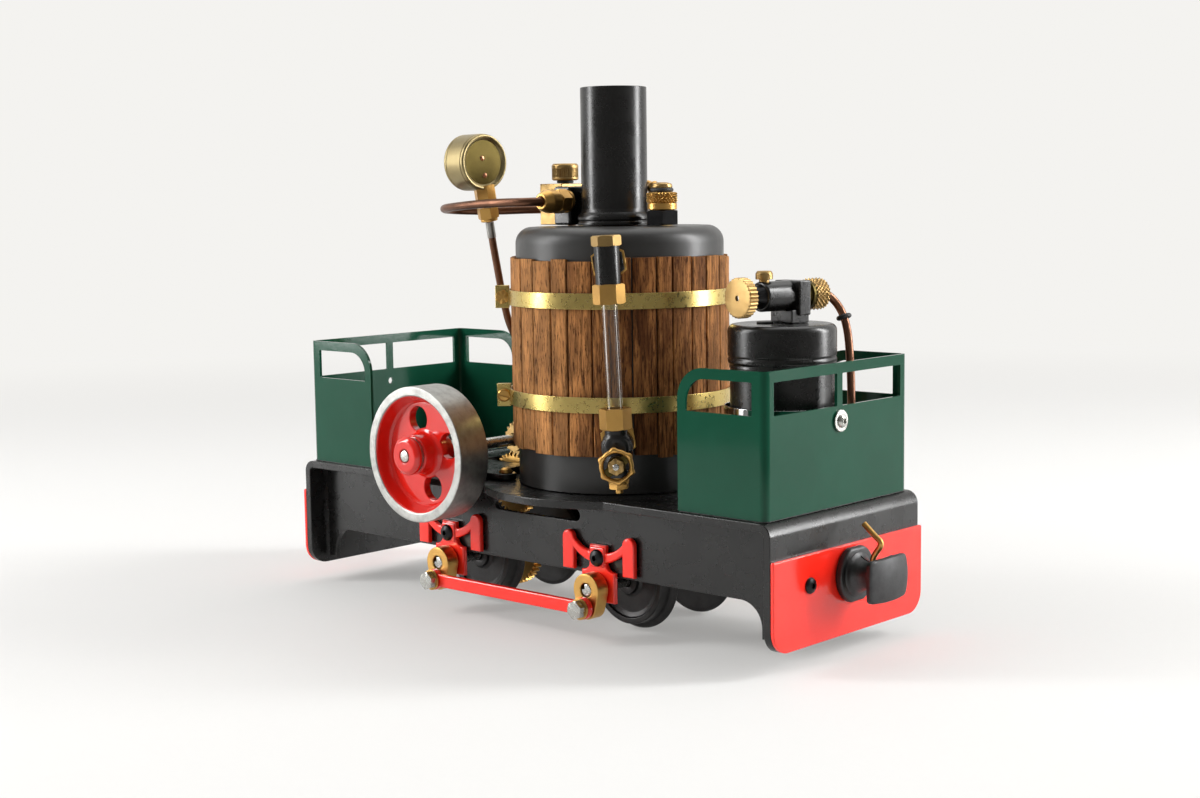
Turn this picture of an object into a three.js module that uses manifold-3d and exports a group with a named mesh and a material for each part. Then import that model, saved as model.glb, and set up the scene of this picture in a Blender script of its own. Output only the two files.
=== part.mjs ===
// A live-steam narrow-gauge locomotive model with a vertical boiler.
// Millimetres, +Z up, +X towards the gas-tank end, -Y the flywheel side.
// The pieces are drawn with Y = 0 on the middle of the track and Z = 0 on the floor under the wheels,
// and the whole engine is then moved sideways so that its box is centred on the origin.

import * as THREE from "three";
import { mergeVertices } from "three/addons/utils/BufferGeometryUtils.js";
import Module from "manifold-3d";

const wasm = await Module();
wasm.setup();

// ---------------------------------------------------------------- driving dimensions

const GAP = 0.3; // space kept between pieces that touch
const RUNNING = 0.3; // radial clearance of faceted shafts in their holes

const AXLE_Z = 16.8;
const AXLE_X = 35; // half of the 70 mm wheelbase
const AXLE_R = 2;
const FLANGE_R = AXLE_Z;
const TREAD_R = 14.8;
const WHEEL_BACK_Y = 14; // 28 mm back to back, for 32 mm track
const WHEEL_WIDTH = 6.6;

const DECK_HALF_LENGTH = 107.8;
const DECK_HALF_WIDTH = 39.5;
const DECK_TOP = 46;
const DECK_SHEET = 2.5;
const DECK_UNDER = DECK_TOP - DECK_SHEET;
const SKIRT_Z = 6.9;
const CORNER_R = 7;

const FRAME_Y = 32.6; // outer face of a side frame
const FRAME_SHEET = 1.8;
const FRAME_LOW_Z = 20.5;
const GUARD_SHEET = 2;

const BUFFER_SHEET = 1.3;
const BUFFER_TOP = 35;
const COUPLER_Z = 25.7;
const COUPLER_APEX_X = 124.4;

const BUNKER_NEAR_X = 71.3;
const BUNKER_FAR_X = 104.8;
const BUNKER_HALF_WIDTH = 37.6;
const BUNKER_TOP = 90.5;
const BUNKER_SHEET = 1;
const WINDOW_LOW_Z = 77.2;
const WINDOW_TOP_Z = 87.2;

const BOILER_X = 15;
const BOILER_R = 35;
const BOILER_TOP = 132;
const BOILER_WALL = 2;
const BOILER_DECK_R = 48; // round bulge of the footplate around the boiler
const SHOULDER_R = 5.5;
const FIREBOX_TOP = 78;
const FLUE_R = 8;
const FLUE_WALL = 1.5;
const SAFETY_VALVE_X = 34;
const LAGGING_R = 37;
const LAGGING_LOW_Z = 58;
const LAGGING_TOP_Z = 122.7;
const BAND_WIDTH = 5.1;
const BAND_Z = [75.4, 108.7];
const CHIMNEY_X = 13;
const CHIMNEY_R = 11.1;
const CHIMNEY_TOP = 178;

const CRANKSHAFT_X = -30.5;
const CRANKSHAFT_Z = 56.4;
const CRANKSHAFT_R = 2;
const FLYWHEEL_R = 23;
const FLYWHEEL_OUTER_Y = -54;
const FLYWHEEL_WIDTH = 12.6;
const HUB_FACE_Y = -58.5;
const ENGINE_THROW = 6.5;
const CYLINDER_PIVOT_Z = 84;
const CYLINDER_Y = 30.5;

const GEAR_MODULE = 0.6;
const PINION_TEETH = 20;
const IDLER_TEETH = 35;
const AXLE_GEAR_TEETH = 43;
const GEAR_Y = -3;
const GEAR_WIDTH = 3;

const CRANK_INNER_Y = 35.6;
const CRANK_OUTER_Y = 40.6;
const CRANK_THROW = 5.5;
const CRANK_PIN_R = 1.5;
const ROD_INNER_Y = 41;
const ROD_OUTER_Y = 43;
const NEAR_PIN_ANGLE = -Math.PI / 2; // the near-side cranks point straight down
const FAR_PIN_ANGLE = 0; // the far-side cranks are a quarter turn on

const GAUGE_AZIMUTH = THREE.MathUtils.degToRad(38.5); // water gauge, from -Y towards +X
const WATER_GAUGE_R = 46;
const GLASS_R = 2.55;

const TANK_X = 82.9;
const TANK_R = 16.4;
const TANK_LID_R = 17.1;
const TANK_TOP = 101.7;
const VALVE_Z = 110.3;

// ---------------------------------------------------------------- materials

function finish(color, roughness, metalness) {
  return new THREE.MeshStandardMaterial({ color, roughness, metalness });
}

const satinBlack = finish(0x1b1b1d, 0.45, 0.2);
const glossRed = finish(0xc8150d, 0.25, 0.1);
const glossGreen = finish(0x0d4a36, 0.25, 0.1);
const brass = finish(0xb38b3c, 0.35, 1);
const copper = finish(0x7a4a38, 0.4, 1);
const steel = finish(0xb9b9b6, 0.3, 1);
const blackedIron = finish(0x26262a, 0.5, 0.7);
const wood = finish(0x7c5433, 0.7, 0);
const clearGlass = finish(0xe8f2f0, 0.05, 0);
clearGlass.transparent = true;
clearGlass.opacity = 0.35;

// ---------------------------------------------------------------- solids

const X_AXIS = new THREE.Vector3(1, 0, 0);
const Y_AXIS = new THREE.Vector3(0, 1, 0);
const Z_AXIS = new THREE.Vector3(0, 0, 1);

function vec(x, y, z) {
  return new THREE.Vector3(x, y, z);
}

// The geometry with shared corners merged and flat slivers dropped, as a closed solid.
function toSolid(geometry) {
  const bare = geometry.clone();
  bare.deleteAttribute("normal");
  bare.deleteAttribute("uv");
  const merged = mergeVertices(bare, 1e-4);
  const triangles = [];
  const index = merged.index.array;
  for (let i = 0; i < index.length; i += 3) {
    const [a, b, c] = [index[i], index[i + 1], index[i + 2]];
    if (a !== b && b !== c && c !== a) triangles.push(a, b, c);
  }
  const mesh = new wasm.Mesh({
    numProp: 3,
    vertProperties: new Float32Array(merged.attributes.position.array),
    triVerts: new Uint32Array(triangles),
  });
  return new wasm.Manifold(mesh);
}

function toGeometry(solid) {
  const mesh = solid.getMesh();
  const geometry = new THREE.BufferGeometry();
  geometry.setAttribute("position", new THREE.BufferAttribute(new Float32Array(mesh.vertProperties), 3));
  geometry.setIndex(new THREE.BufferAttribute(new Uint32Array(mesh.triVerts), 1));
  return geometry;
}

function joined(...pieces) {
  return toGeometry(pieces.map(toSolid).reduce((sum, piece) => sum.add(piece)));
}

function cut(base, ...tools) {
  return toGeometry(tools.map(toSolid).reduce((rest, tool) => rest.subtract(tool), toSolid(base)));
}

function common(a, b) {
  return toGeometry(toSolid(a).intersect(toSolid(b)));
}

function block(low, high) {
  const geometry = new THREE.BoxGeometry(high[0] - low[0], high[1] - low[1], high[2] - low[2]);
  return geometry.translate((low[0] + high[0]) / 2, (low[1] + high[1]) / 2, (low[2] + high[2]) / 2);
}

// A solid of revolution: profile points are [radius, distance] along the axis from the origin point.
function turned(profile, origin, direction, sides = 20) {
  const points = profile.map(([radius, along]) => new THREE.Vector2(radius, along));
  const geometry = new THREE.LatheGeometry(points, sides);
  const turn = new THREE.Quaternion().setFromUnitVectors(Y_AXIS, direction.clone().normalize());
  return geometry.applyQuaternion(turn).translate(origin.x, origin.y, origin.z);
}

function disc(radius, from, to) {
  return [[0, from], [radius, from], [radius, to], [0, to]];
}

function ring(inner, outer, from, to) {
  return [[inner, from], [outer, from], [outer, to], [inner, to], [inner, from]];
}

// Profile points of a quarter circle, from its outermost point up to its highest one.
function arcProfile(across, along, radius, steps) {
  return Array.from({ length: steps + 1 }, (_, i) => {
    const angle = (i / steps) * (Math.PI / 2);
    return [across + radius * Math.cos(angle), along + radius * Math.sin(angle)];
  });
}

// A round or polygonal bar along an axis from one distance to another.
function bar(radius, origin, direction, from, to, sides = 12) {
  return turned(disc(radius, from, to), origin, direction, sides);
}

function extruded(shape, depth, xAxis, yAxis, start, curveSegments = 3) {
  const geometry = new THREE.ExtrudeGeometry(shape, { depth, bevelEnabled: false, curveSegments });
  const zAxis = new THREE.Vector3().crossVectors(xAxis, yAxis);
  geometry.applyMatrix4(new THREE.Matrix4().makeBasis(xAxis, yAxis, zAxis));
  return geometry.translate(zAxis.x * start, zAxis.y * start, zAxis.z * start);
}

// Plates drawn in a plane and given a thickness between two values of the third coordinate.
function plateXZ(shape, y0, y1, curveSegments) {
  return extruded(shape, y1 - y0, X_AXIS, Z_AXIS, -y1, curveSegments);
}

function plateYZ(shape, x0, x1, curveSegments) {
  return extruded(shape, x1 - x0, Y_AXIS, Z_AXIS, x0, curveSegments);
}

function plateXY(shape, z0, z1, curveSegments) {
  return extruded(shape, z1 - z0, X_AXIS, Y_AXIS, z0, curveSegments);
}

function polygon(points) {
  return new THREE.Shape(points.map(([x, y]) => new THREE.Vector2(x, y)));
}

// A rectangle whose corners are rounded: radii are lower left, lower right, upper right, upper left.
function roundedRectangle(x0, y0, x1, y1, radii) {
  const [ll, lr, ur, ul] = radii;
  const shape = new THREE.Shape();
  shape.moveTo(x0 + ll, y0);
  shape.lineTo(x1 - lr, y0);
  shape.absarc(x1 - lr, y0 + lr, lr, -Math.PI / 2, 0);
  shape.lineTo(x1, y1 - ur);
  shape.absarc(x1 - ur, y1 - ur, ur, 0, Math.PI / 2);
  shape.lineTo(x0 + ul, y1);
  shape.absarc(x0 + ul, y1 - ul, ul, Math.PI / 2, Math.PI);
  shape.lineTo(x0, y0 + ll);
  shape.absarc(x0 + ll, y0 + ll, ll, Math.PI, Math.PI * 1.5);
  return shape;
}

// Two round ends joined by their tangents: a link or a teardrop.
function linkShape(a, radiusA, b, radiusB) {
  const heading = Math.atan2(b[1] - a[1], b[0] - a[0]);
  const tilt = Math.acos((radiusA - radiusB) / Math.hypot(b[0] - a[0], b[1] - a[1]));
  const shape = new THREE.Shape();
  shape.absarc(a[0], a[1], radiusA, heading + tilt, heading - tilt + 2 * Math.PI);
  shape.absarc(b[0], b[1], radiusB, heading - tilt, heading + tilt);
  shape.closePath();
  return shape;
}

function roundHole(x, y, radius) {
  const hole = new THREE.Path();
  hole.absarc(x, y, radius, 0, 2 * Math.PI, true);
  return hole;
}

function tube(points, radius, steps, sides = 10) {
  const curve = new THREE.CatmullRomCurve3(points.map((p) => vec(...p)), false, "centripetal");
  const section = new THREE.Shape();
  section.absarc(0, 0, radius, 0, 2 * Math.PI);
  return new THREE.ExtrudeGeometry(section, {
    steps,
    curveSegments: sides / 2,
    bevelEnabled: false,
    extrudePath: curve,
  });
}

// ---------------------------------------------------------------- assembly

const engine = new THREE.Group();
const FAR_EXTENT = BOILER_DECK_R;
engine.position.y = (-HUB_FACE_Y - FAR_EXTENT) / 2;

function add(name, geometry, material) {
  const mesh = new THREE.Mesh(geometry, material);
  mesh.name = name;
  engine.add(mesh);
  return mesh;
}

// ---------------------------------------------------------------- frames and footplate

// The footplate is one sheet, bent down at both ends into the end plates.
function footplate() {
  const bend = 4;
  const inner = bend - DECK_SHEET;
  const end = DECK_HALF_LENGTH;
  const profile = new THREE.Shape();
  profile.moveTo(-end, SKIRT_Z);
  profile.lineTo(-end + DECK_SHEET, SKIRT_Z);
  profile.lineTo(-end + DECK_SHEET, DECK_TOP - bend);
  profile.absarc(-end + bend, DECK_TOP - bend, inner, Math.PI, Math.PI / 2, true);
  profile.lineTo(end - bend, DECK_UNDER);
  profile.absarc(end - bend, DECK_TOP - bend, inner, Math.PI / 2, 0, true);
  profile.lineTo(end - DECK_SHEET, SKIRT_Z);
  profile.lineTo(end, SKIRT_Z);
  profile.lineTo(end, DECK_TOP - bend);
  profile.absarc(end - bend, DECK_TOP - bend, bend, 0, Math.PI / 2);
  profile.lineTo(-end + bend, DECK_TOP);
  profile.absarc(-end + bend, DECK_TOP - bend, bend, Math.PI / 2, Math.PI);
  const sheet = plateXZ(profile, -DECK_HALF_WIDTH, DECK_HALF_WIDTH, 2);
  const outline = roundedRectangle(
    -DECK_HALF_WIDTH, SKIRT_Z, DECK_HALF_WIDTH, DECK_TOP + 1, [CORNER_R, CORNER_R, 0.01, 0.01]);
  const trimmed = common(sheet, plateYZ(outline, -end - 1, end + 1, 3));
  const bulge = bar(BOILER_DECK_R, vec(BOILER_X, 0, 0), Z_AXIS, DECK_UNDER, DECK_TOP, 56);
  const burnerHole = bar(14, vec(BOILER_X, 0, 0), Z_AXIS, DECK_UNDER - 1, DECK_TOP + 1, 24);
  const gearSlot = block([-44.5, -10.8, DECK_UNDER - 1], [-21.2, 0.8, DECK_TOP + 1]);
  const gasHole = bar(2, vec(95.4, 20, 0), Z_AXIS, DECK_UNDER - 1, DECK_TOP + 1, 12);
  return cut(joined(trimmed, bulge), burnerHole, gearSlot, gasHole);
}

function sideFrame(side) {
  const end = DECK_HALF_LENGTH - 4 - GAP; // clear of the inside of the bend
  const legInner = 99.5;
  const legBottom = 9.5;
  const arch = 8;
  const shape = new THREE.Shape();
  shape.moveTo(-end, DECK_UNDER - GAP);
  shape.lineTo(-end, legBottom);
  shape.lineTo(-legInner, legBottom);
  shape.lineTo(-legInner, FRAME_LOW_Z - arch);
  shape.absarc(-legInner + arch, FRAME_LOW_Z - arch, arch, Math.PI, Math.PI / 2, true);
  shape.lineTo(legInner - arch, FRAME_LOW_Z);
  shape.absarc(legInner - arch, FRAME_LOW_Z - arch, arch, Math.PI / 2, 0, true);
  shape.lineTo(legInner, legBottom);
  shape.lineTo(end, legBottom);
  shape.lineTo(end, DECK_UNDER - GAP);
  shape.holes.push(roundedRectangle(-14, 36.9, 25.4, 40.8, [1.9, 1.9, 1.9, 1.9]));
  const inner = side * (FRAME_Y - FRAME_SHEET);
  const outer = side * FRAME_Y;
  return plateXZ(shape, Math.min(inner, outer), Math.max(inner, outer));
}

// A red casting with two posts, leaf-spring arms and an axlebox block.
function axleGuard(end, side) {
  const half = [
    ["line", 7.1, 12.2], ["line", 7.1, 22.1], ["curve", 3.7, 22.3, 3.3, 25],
    ["curve", 7.6, 26.2, 10.6, 28.6], ["line", 10.6, 21.6], ["line", 15.5, 21.6],
  ];
  const shape = new THREE.Shape();
  shape.moveTo(0, 12.2);
  for (const [kind, ...p] of half) {
    if (kind === "line") shape.lineTo(p[0], p[1]);
    else shape.quadraticCurveTo(p[0], p[1], p[2], p[3]);
  }
  shape.absarc(13.05, 31.9, 2.45, 0, Math.PI);
  shape.quadraticCurveTo(7.6, 29, 3.3, 28.4);
  shape.lineTo(3.3, 30.7);
  shape.lineTo(0, 30.7);
  const outline = shape.getPoints(3);
  const mirrored = outline.slice(1, -1).reverse().map((p) => new THREE.Vector2(-p.x, p.y));
  const whole = new THREE.Shape([...outline, ...mirrored]);
  whole.holes.push(roundHole(0, AXLE_Z, AXLE_R + RUNNING));
  const inner = side * (FRAME_Y + GAP);
  const outer = side * (FRAME_Y + GAP + GUARD_SHEET);
  return plateXZ(whole, Math.min(inner, outer), Math.max(inner, outer), 6).translate(end * AXLE_X, 0, 0);
}

function bufferPlate(end) {
  const shape = roundedRectangle(
    -DECK_HALF_WIDTH, SKIRT_Z, DECK_HALF_WIDTH, BUFFER_TOP, [CORNER_R, CORNER_R, 1, 1]);
  const inner = DECK_HALF_LENGTH + 0.1;
  const plate = plateYZ(shape, inner, inner + BUFFER_SHEET, 2);
  return end > 0 ? plate : plate.rotateZ(Math.PI);
}

// Base plate, conical neck and convex buffing face, drilled for the drop pin.
function coupler(end) {
  const start = DECK_HALF_LENGTH + BUFFER_SHEET + 0.2;
  const faceBack = COUPLER_APEX_X - 4.6;
  const base = common(
    bar(9, vec(0, 0, COUPLER_Z), X_AXIS, start, start + 2.5, 20),
    block([start - 1, -9.5, COUPLER_Z - 8.4], [start + 3, 9.5, COUPLER_Z + 8.4]));
  const neck = turned([
    [0, start + 1], [7, start + 1], [7, start + 3], [4.4, start + 7], [4.2, faceBack + 1], [0, faceBack + 1],
  ], vec(0, 0, COUPLER_Z), X_AXIS, 16);
  const crown = 38.8;
  const dome = new THREE.SphereGeometry(crown, 16, 30).rotateZ(-Math.PI / 2);
  dome.translate(COUPLER_APEX_X - crown, 0, COUPLER_Z);
  const outline = roundedRectangle(
    -10.3, COUPLER_Z - 6.8, 10.3, COUPLER_Z + 6.8, [1.2, 1.2, 1.2, 1.2]);
  const face = common(plateYZ(outline, faceBack, COUPLER_APEX_X + 1, 1), dome);
  const pinHole = bar(1.25, vec(117, 0, 0), Z_AXIS, 10, 40, 12);
  const whole = cut(joined(base, neck, face), pinHole);
  return end > 0 ? whole : whole.rotateZ(Math.PI);
}

function couplerPin(end) {
  const straight = [[117, 0, 18], [117, 0, 22], [117, 0, 27], [117, 0, 31.5]];
  const crook = [[118.2, 0, 33.6], [120, 0, 35.8], [119.4, 0, 37.4], [116.6, 0, 39.6], [113.9, 0, 41.8]];
  const pin = tube([...straight, ...crook], 0.9, 13, 8);
  return end > 0 ? pin : pin.rotateZ(Math.PI);
}

add("footplate", footplate(), satinBlack);
for (const [side, label] of [[-1, "right"], [1, "left"]]) {
  add(`side_frame_${label}`, sideFrame(side), satinBlack);
  for (const [end, place] of [[1, "front"], [-1, "rear"]]) {
    add(`axle_guard_${label}_${place}`, axleGuard(end, side), glossRed);
  }
}
for (const [end, place] of [[1, "front"], [-1, "rear"]]) {
  add(`${place}_buffer_plate`, bufferPlate(end), glossRed);
  add(`${place}_coupler`, coupler(end), satinBlack);
  add(`${place}_coupler_pin`, couplerPin(end), brass);
}

// ---------------------------------------------------------------- bunkers

// Three walls on a floor, open towards the boiler, with two windows in the end and one in each side.
function bunker(end) {
  const low = DECK_TOP + GAP;
  const corner = 2;
  const arc = 10;
  const outer = roundedRectangle(
    BUNKER_NEAR_X, -BUNKER_HALF_WIDTH, BUNKER_FAR_X, BUNKER_HALF_WIDTH, [0.01, corner, corner, 0.01]);
  const shell = plateXY(outer, low, BUNKER_TOP, 2);
  const inside = roundedRectangle(
    BUNKER_NEAR_X - 5, -BUNKER_HALF_WIDTH + BUNKER_SHEET, BUNKER_FAR_X - BUNKER_SHEET,
    BUNKER_HALF_WIDTH - BUNKER_SHEET, [0.01, corner - BUNKER_SHEET, corner - BUNKER_SHEET, 0.01]);
  const hollow = plateXY(inside, low + BUNKER_SHEET, BUNKER_TOP + 5, 2);
  const wide = BUNKER_HALF_WIDTH + 1;
  const topCorner = new THREE.Shape();
  topCorner.moveTo(BUNKER_NEAR_X - 1, BUNKER_TOP - arc);
  topCorner.lineTo(BUNKER_NEAR_X, BUNKER_TOP - arc);
  topCorner.absarc(BUNKER_NEAR_X + arc, BUNKER_TOP - arc, arc, Math.PI, Math.PI / 2, true);
  topCorner.lineTo(BUNKER_NEAR_X + arc, BUNKER_TOP + 1);
  topCorner.lineTo(BUNKER_NEAR_X - 1, BUNKER_TOP + 1);
  const sideWindow = roundedRectangle(
    74.4, WINDOW_LOW_Z, 99.8, WINDOW_TOP_Z, [0.3, 0.3, 0.3, 7.4]);
  const cutters = [hollow, plateXZ(topCorner, -wide, wide, 3), plateXZ(sideWindow, -wide, wide, 2)];
  for (const side of [-1, 1]) {
    const [y0, y1] = side < 0 ? [-33.4, -1.4] : [1.4, 33.4];
    const endWindow = roundedRectangle(y0, WINDOW_LOW_Z, y1, WINDOW_TOP_Z, [0.3, 0.3, 0.3, 0.3]);
    cutters.push(plateYZ(endWindow, BUNKER_FAR_X - 5, BUNKER_FAR_X + 5, 1));
  }
  cutters.push(bar(1.2, vec(BUNKER_FAR_X, 0, 72.6), X_AXIS, -5, 5, 12));
  if (end > 0) cutters.push(bar(2, vec(95.4, 20, low), Z_AXIS, -1, 3, 12));
  const body = cut(shell, ...cutters);
  return end > 0 ? body : body.rotateZ(Math.PI);
}

add("front_bunker", bunker(1), glossGreen);
add("rear_bunker", bunker(-1), glossGreen);

// ---------------------------------------------------------------- boiler

// A deep cup, open below, with a round shoulder and holes in its top for the flue and for filling.
function boilerShell() {
  const low = DECK_TOP + GAP;
  const hole = FLUE_R + FLUE_WALL + GAP;
  const inner = BOILER_R - BOILER_WALL;
  const underside = BOILER_TOP - BOILER_WALL;
  const outline = [
    [inner, low], [BOILER_R, low],
    ...arcProfile(BOILER_R - SHOULDER_R, BOILER_TOP - SHOULDER_R, SHOULDER_R, 3),
    [hole, BOILER_TOP], [hole, underside], [inner - SHOULDER_R, underside], [inner, underside - SHOULDER_R],
    [inner, low],
  ];
  const filler = bar(2, vec(SAFETY_VALVE_X, 0, 0), Z_AXIS, underside - 2, BOILER_TOP + 1, 12);
  return cut(turned(outline, vec(BOILER_X, 0, 0), Z_AXIS, 32), filler);
}

// The flue stands on the firebox crown, a round plate that closes the water space from below.
function flueTube() {
  const outer = FLUE_R + FLUE_WALL;
  const crownTop = FIREBOX_TOP + BOILER_WALL;
  const crownR = BOILER_R - BOILER_WALL - GAP;
  const outline = [
    [FLUE_R, FIREBOX_TOP], [crownR, FIREBOX_TOP], [crownR, crownTop], [outer, crownTop],
    [outer, BOILER_TOP], [FLUE_R, BOILER_TOP], [FLUE_R, FIREBOX_TOP],
  ];
  return turned(outline, vec(BOILER_X, 0, 0), Z_AXIS, 32);
}

function band(z) {
  const low = z - BAND_WIDTH / 2;
  const inner = LAGGING_R + GAP;
  const hoop = turned(ring(inner, inner + 0.6, low, low + BAND_WIDTH), vec(BOILER_X, 0, 0), Z_AXIS, 32);
  const lugHeight = 7.6;
  const lug = block([inner + 0.2, -1.6, z - lugHeight / 2], [inner + 4.8, 1.6, z + lugHeight / 2]);
  lug.rotateZ(THREE.MathUtils.degToRad(-137.5)).translate(BOILER_X, 0, 0);
  return joined(hoop, lug);
}

function chimney() {
  const bore = CHIMNEY_R - 1.1;
  const low = BOILER_TOP + GAP;
  const profile = [
    [bore, low], [12.5, low], [12.5, low + 4.2], [CHIMNEY_R, low + 5.4], [CHIMNEY_R, CHIMNEY_TOP],
    [bore, CHIMNEY_TOP], [bore, low],
  ];
  return turned(profile, vec(CHIMNEY_X, 0, 0), Z_AXIS, 24);
}

// A ribbon burner head on a flange that rests on the footplate, with its jet tube hanging through the hole.
function burner() {
  const low = DECK_TOP + GAP;
  const profile = [
    [0, 36], [4, 36], [4, low], [17.5, low], [17.5, low + 1.2], [12, low + 1.2], [12, 58], [0, 58],
  ];
  return turned(profile, vec(BOILER_X, 0, 0), Z_AXIS, 16);
}

add("boiler_shell", boilerShell(), satinBlack);
add("flue_tube", flueTube(), copper);
add("lagging", turned(
  ring(BOILER_R + GAP, LAGGING_R, LAGGING_LOW_Z, LAGGING_TOP_Z), vec(BOILER_X, 0, 0), Z_AXIS, 32), wood);
add("lower_band", band(BAND_Z[0]), brass);
add("upper_band", band(BAND_Z[1]), brass);
add("chimney", chimney(), satinBlack);
add("burner", burner(), brass);

// ---------------------------------------------------------------- boiler-top fittings

const SAFETY_VALVE = vec(SAFETY_VALVE_X, 0, BOILER_TOP + GAP);
const STEAM_BLOCK = vec(-13.9, 2.2, BOILER_TOP + GAP);
const REGULATOR = vec(-12.9, 3.3, 0);
const FEED_AXIS_X = -2.6;
const FEED_AXIS_Z = 140.4;
const STEAM_PIPE_R = 1.45;

function safetyValveBody() {
  const hex = bar(5.75, SAFETY_VALVE, Z_AXIS, 0, 4.8, 6);
  const stem = turned([
    [0, 4], [4, 4], [4, 7.1], [5.2, 7.1], [5.2, 10.7], [4.2, 10.7], [4.2, 11], [1.6, 11], [1.6, 8], [0, 8],
  ], SAFETY_VALVE, Z_AXIS, 16);
  return joined(hex, stem);
}

// The valve's spring-loaded button, which lifts when the boiler blows off.
function safetyValveButton() {
  return turned([
    [0, 8.6], [1.2, 8.6], [1.2, 11.3], [3.5, 11.3], [3.5, 13.9], [0, 13.9],
  ], SAFETY_VALVE, Z_AXIS, 16);
}

function steamBlock() {
  const half = 5.2;
  const top = 146.4;
  const low = [STEAM_BLOCK.x - half, STEAM_BLOCK.y - half, STEAM_BLOCK.z];
  const high = [STEAM_BLOCK.x + half, STEAM_BLOCK.y + half, top];
  const body = block(low, high);
  return cut(body, bar(1.6, REGULATOR, Z_AXIS, top - 4, top + 1, 16));
}

function regulatorKnob() {
  return turned([
    [0, 143], [1.3, 143], [1.3, 146.8], [3.9, 146.8], [4.65, 147.4], [4.65, 152.7], [4.2, 153.3],
    [0, 153.3],
  ], REGULATOR, Z_AXIS, 16);
}

// The black outlet arm with its hexagon and the union nut that holds the steam pipe.
function steamElbow() {
  const arm = block([-8.4, -7.5, BOILER_TOP + GAP], [-0.6, 0.8, 145.4]);
  const origin = vec(FEED_AXIS_X, 0, FEED_AXIS_Z);
  const towards = vec(0, -1, 0);
  const hex = bar(4, origin, towards, 6, 12.6, 6);
  const nut = turned([[0, 12], [4.1, 12], [4.1, 17], [3.4, 19.6], [0, 19.6]], origin, towards, 6);
  const bore = bar(STEAM_PIPE_R + GAP, origin, towards, 15.5, 20, 12);
  return cut(joined(arm, hex, nut), bore);
}

// From the union nut the pipe makes one flat turn, passes behind the block and drops to the engine.
function steamPipe() {
  const route = [
    [FEED_AXIS_X, -16, FEED_AXIS_Z], [FEED_AXIS_X, -21, FEED_AXIS_Z], [-5, -24.6, 140.3], [-12, -26.3, 140.2],
    [-23, -26.4, 139.9], [-35, -25.6, 139.2], [-46, -22.4, 138.5], [-52.6, -16.6, 138], [-53.2, -10.6, 137.6],
    [-48, -4.6, 137.3], [-40, -0.4, 137.3], [-32, 5, 137.5], [-27, 11.5, 137.2], [-25.8, 18, 135],
    [-26.2, 21.2, 128], [-27.6, 22.2, 116], [-30, 21.6, 106], [-30.5, 21.5, 98.6],
  ];
  return tube(route, STEAM_PIPE_R, 40, 8);
}

add("safety_valve_body", safetyValveBody(), brass);
add("safety_valve_button", safetyValveButton(), brass);
add("steam_block", steamBlock(), brass);
add("regulator_knob", regulatorKnob(), brass);
add("steam_elbow", steamElbow(), satinBlack);
add("steam_pipe", steamPipe(), copper);

// ---------------------------------------------------------------- pressure gauge

const DIAL_HEADING = THREE.MathUtils.degToRad(173); // the dial looks to the rear, turned 7 degrees outwards
const DIAL_AXIS = vec(Math.cos(DIAL_HEADING), Math.sin(DIAL_HEADING), 0);
const GAUGE_BACK = vec(-33.8, -15, 154.2);
const GAUGE_STEM = vec(-36.7, -14.6, 0);
const GAUGE_LEAN = THREE.MathUtils.degToRad(10); // the gauge stands a little askew on its pipe
const GAUGE_R = 9.8;
const GAUGE_DEPTH = 11;

function leaned(geometry) {
  geometry.translate(-GAUGE_BACK.x, -GAUGE_BACK.y, -GAUGE_BACK.z);
  geometry.applyQuaternion(new THREE.Quaternion().setFromAxisAngle(DIAL_AXIS, -GAUGE_LEAN));
  return geometry.translate(GAUGE_BACK.x, GAUGE_BACK.y, GAUGE_BACK.z);
}

function gaugeCase() {
  const drum = turned([
    [0, 0.9], [8, 0.9], [8.4, 0], [GAUGE_R, 0], [GAUGE_R, GAUGE_DEPTH], [9, GAUGE_DEPTH],
    [9, GAUGE_DEPTH - 2.2], [0, GAUGE_DEPTH - 2.2],
  ], GAUGE_BACK, DIAL_AXIS, 20);
  const stem = joined(
    bar(3.6, GAUGE_STEM, Z_AXIS, 140.8, 146.6, 6),
    bar(1.8, GAUGE_STEM, Z_AXIS, 137, 141.5, 12),
    bar(3.7, GAUGE_STEM, Z_AXIS, 133.4, 138.2, 6));
  const pocket = bar(GAUGE_R - 1.2, GAUGE_BACK, DIAL_AXIS, GAUGE_DEPTH - 2.2, GAUGE_DEPTH + 2, 20);
  return leaned(cut(joined(drum, stem), pocket));
}

function gaugeNeedle() {
  const face = GAUGE_DEPTH - 2.2 + GAP;
  const hub = bar(1.1, vec(0, 0, 0), Z_AXIS, face, face + 0.7, 12);
  const outline = polygon([[-0.5, -2.4], [0.5, -2.4], [0.16, 6.6], [-0.16, 6.6]]);
  const pointer = plateXY(outline, face + 0.1, face + 0.5);
  const needle = joined(hub, pointer);
  const sideways = new THREE.Vector3().crossVectors(Z_AXIS, DIAL_AXIS);
  needle.rotateZ(THREE.MathUtils.degToRad(135));
  needle.applyMatrix4(new THREE.Matrix4().makeBasis(sideways, Z_AXIS, DIAL_AXIS));
  return leaned(needle.translate(GAUGE_BACK.x, GAUGE_BACK.y, GAUGE_BACK.z));
}

function gaugePipe() {
  const route = [
    [-36.2, -11, 133.3], [-36.1, -10.1, 128], [-35.7, -8.3, 118], [-35, -6.4, 107], [-33.6, -4.5, 97],
    [-31.2, -1.6, 89.6], [-27.6, 1.4, 85.4], [-22.5, 4.4, 83.8],
  ];
  return tube(route, 1.3, 17, 8);
}

add("gauge_case", gaugeCase(), brass);
add("gauge_needle", gaugeNeedle(), satinBlack);
add("gauge_pipe", gaugePipe(), copper);

// ---------------------------------------------------------------- water gauge

const WATER_GAUGE_LEAN = THREE.MathUtils.degToRad(2.3); // the column is not quite upright
const GAUGE_TURN_Z = 92;

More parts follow.
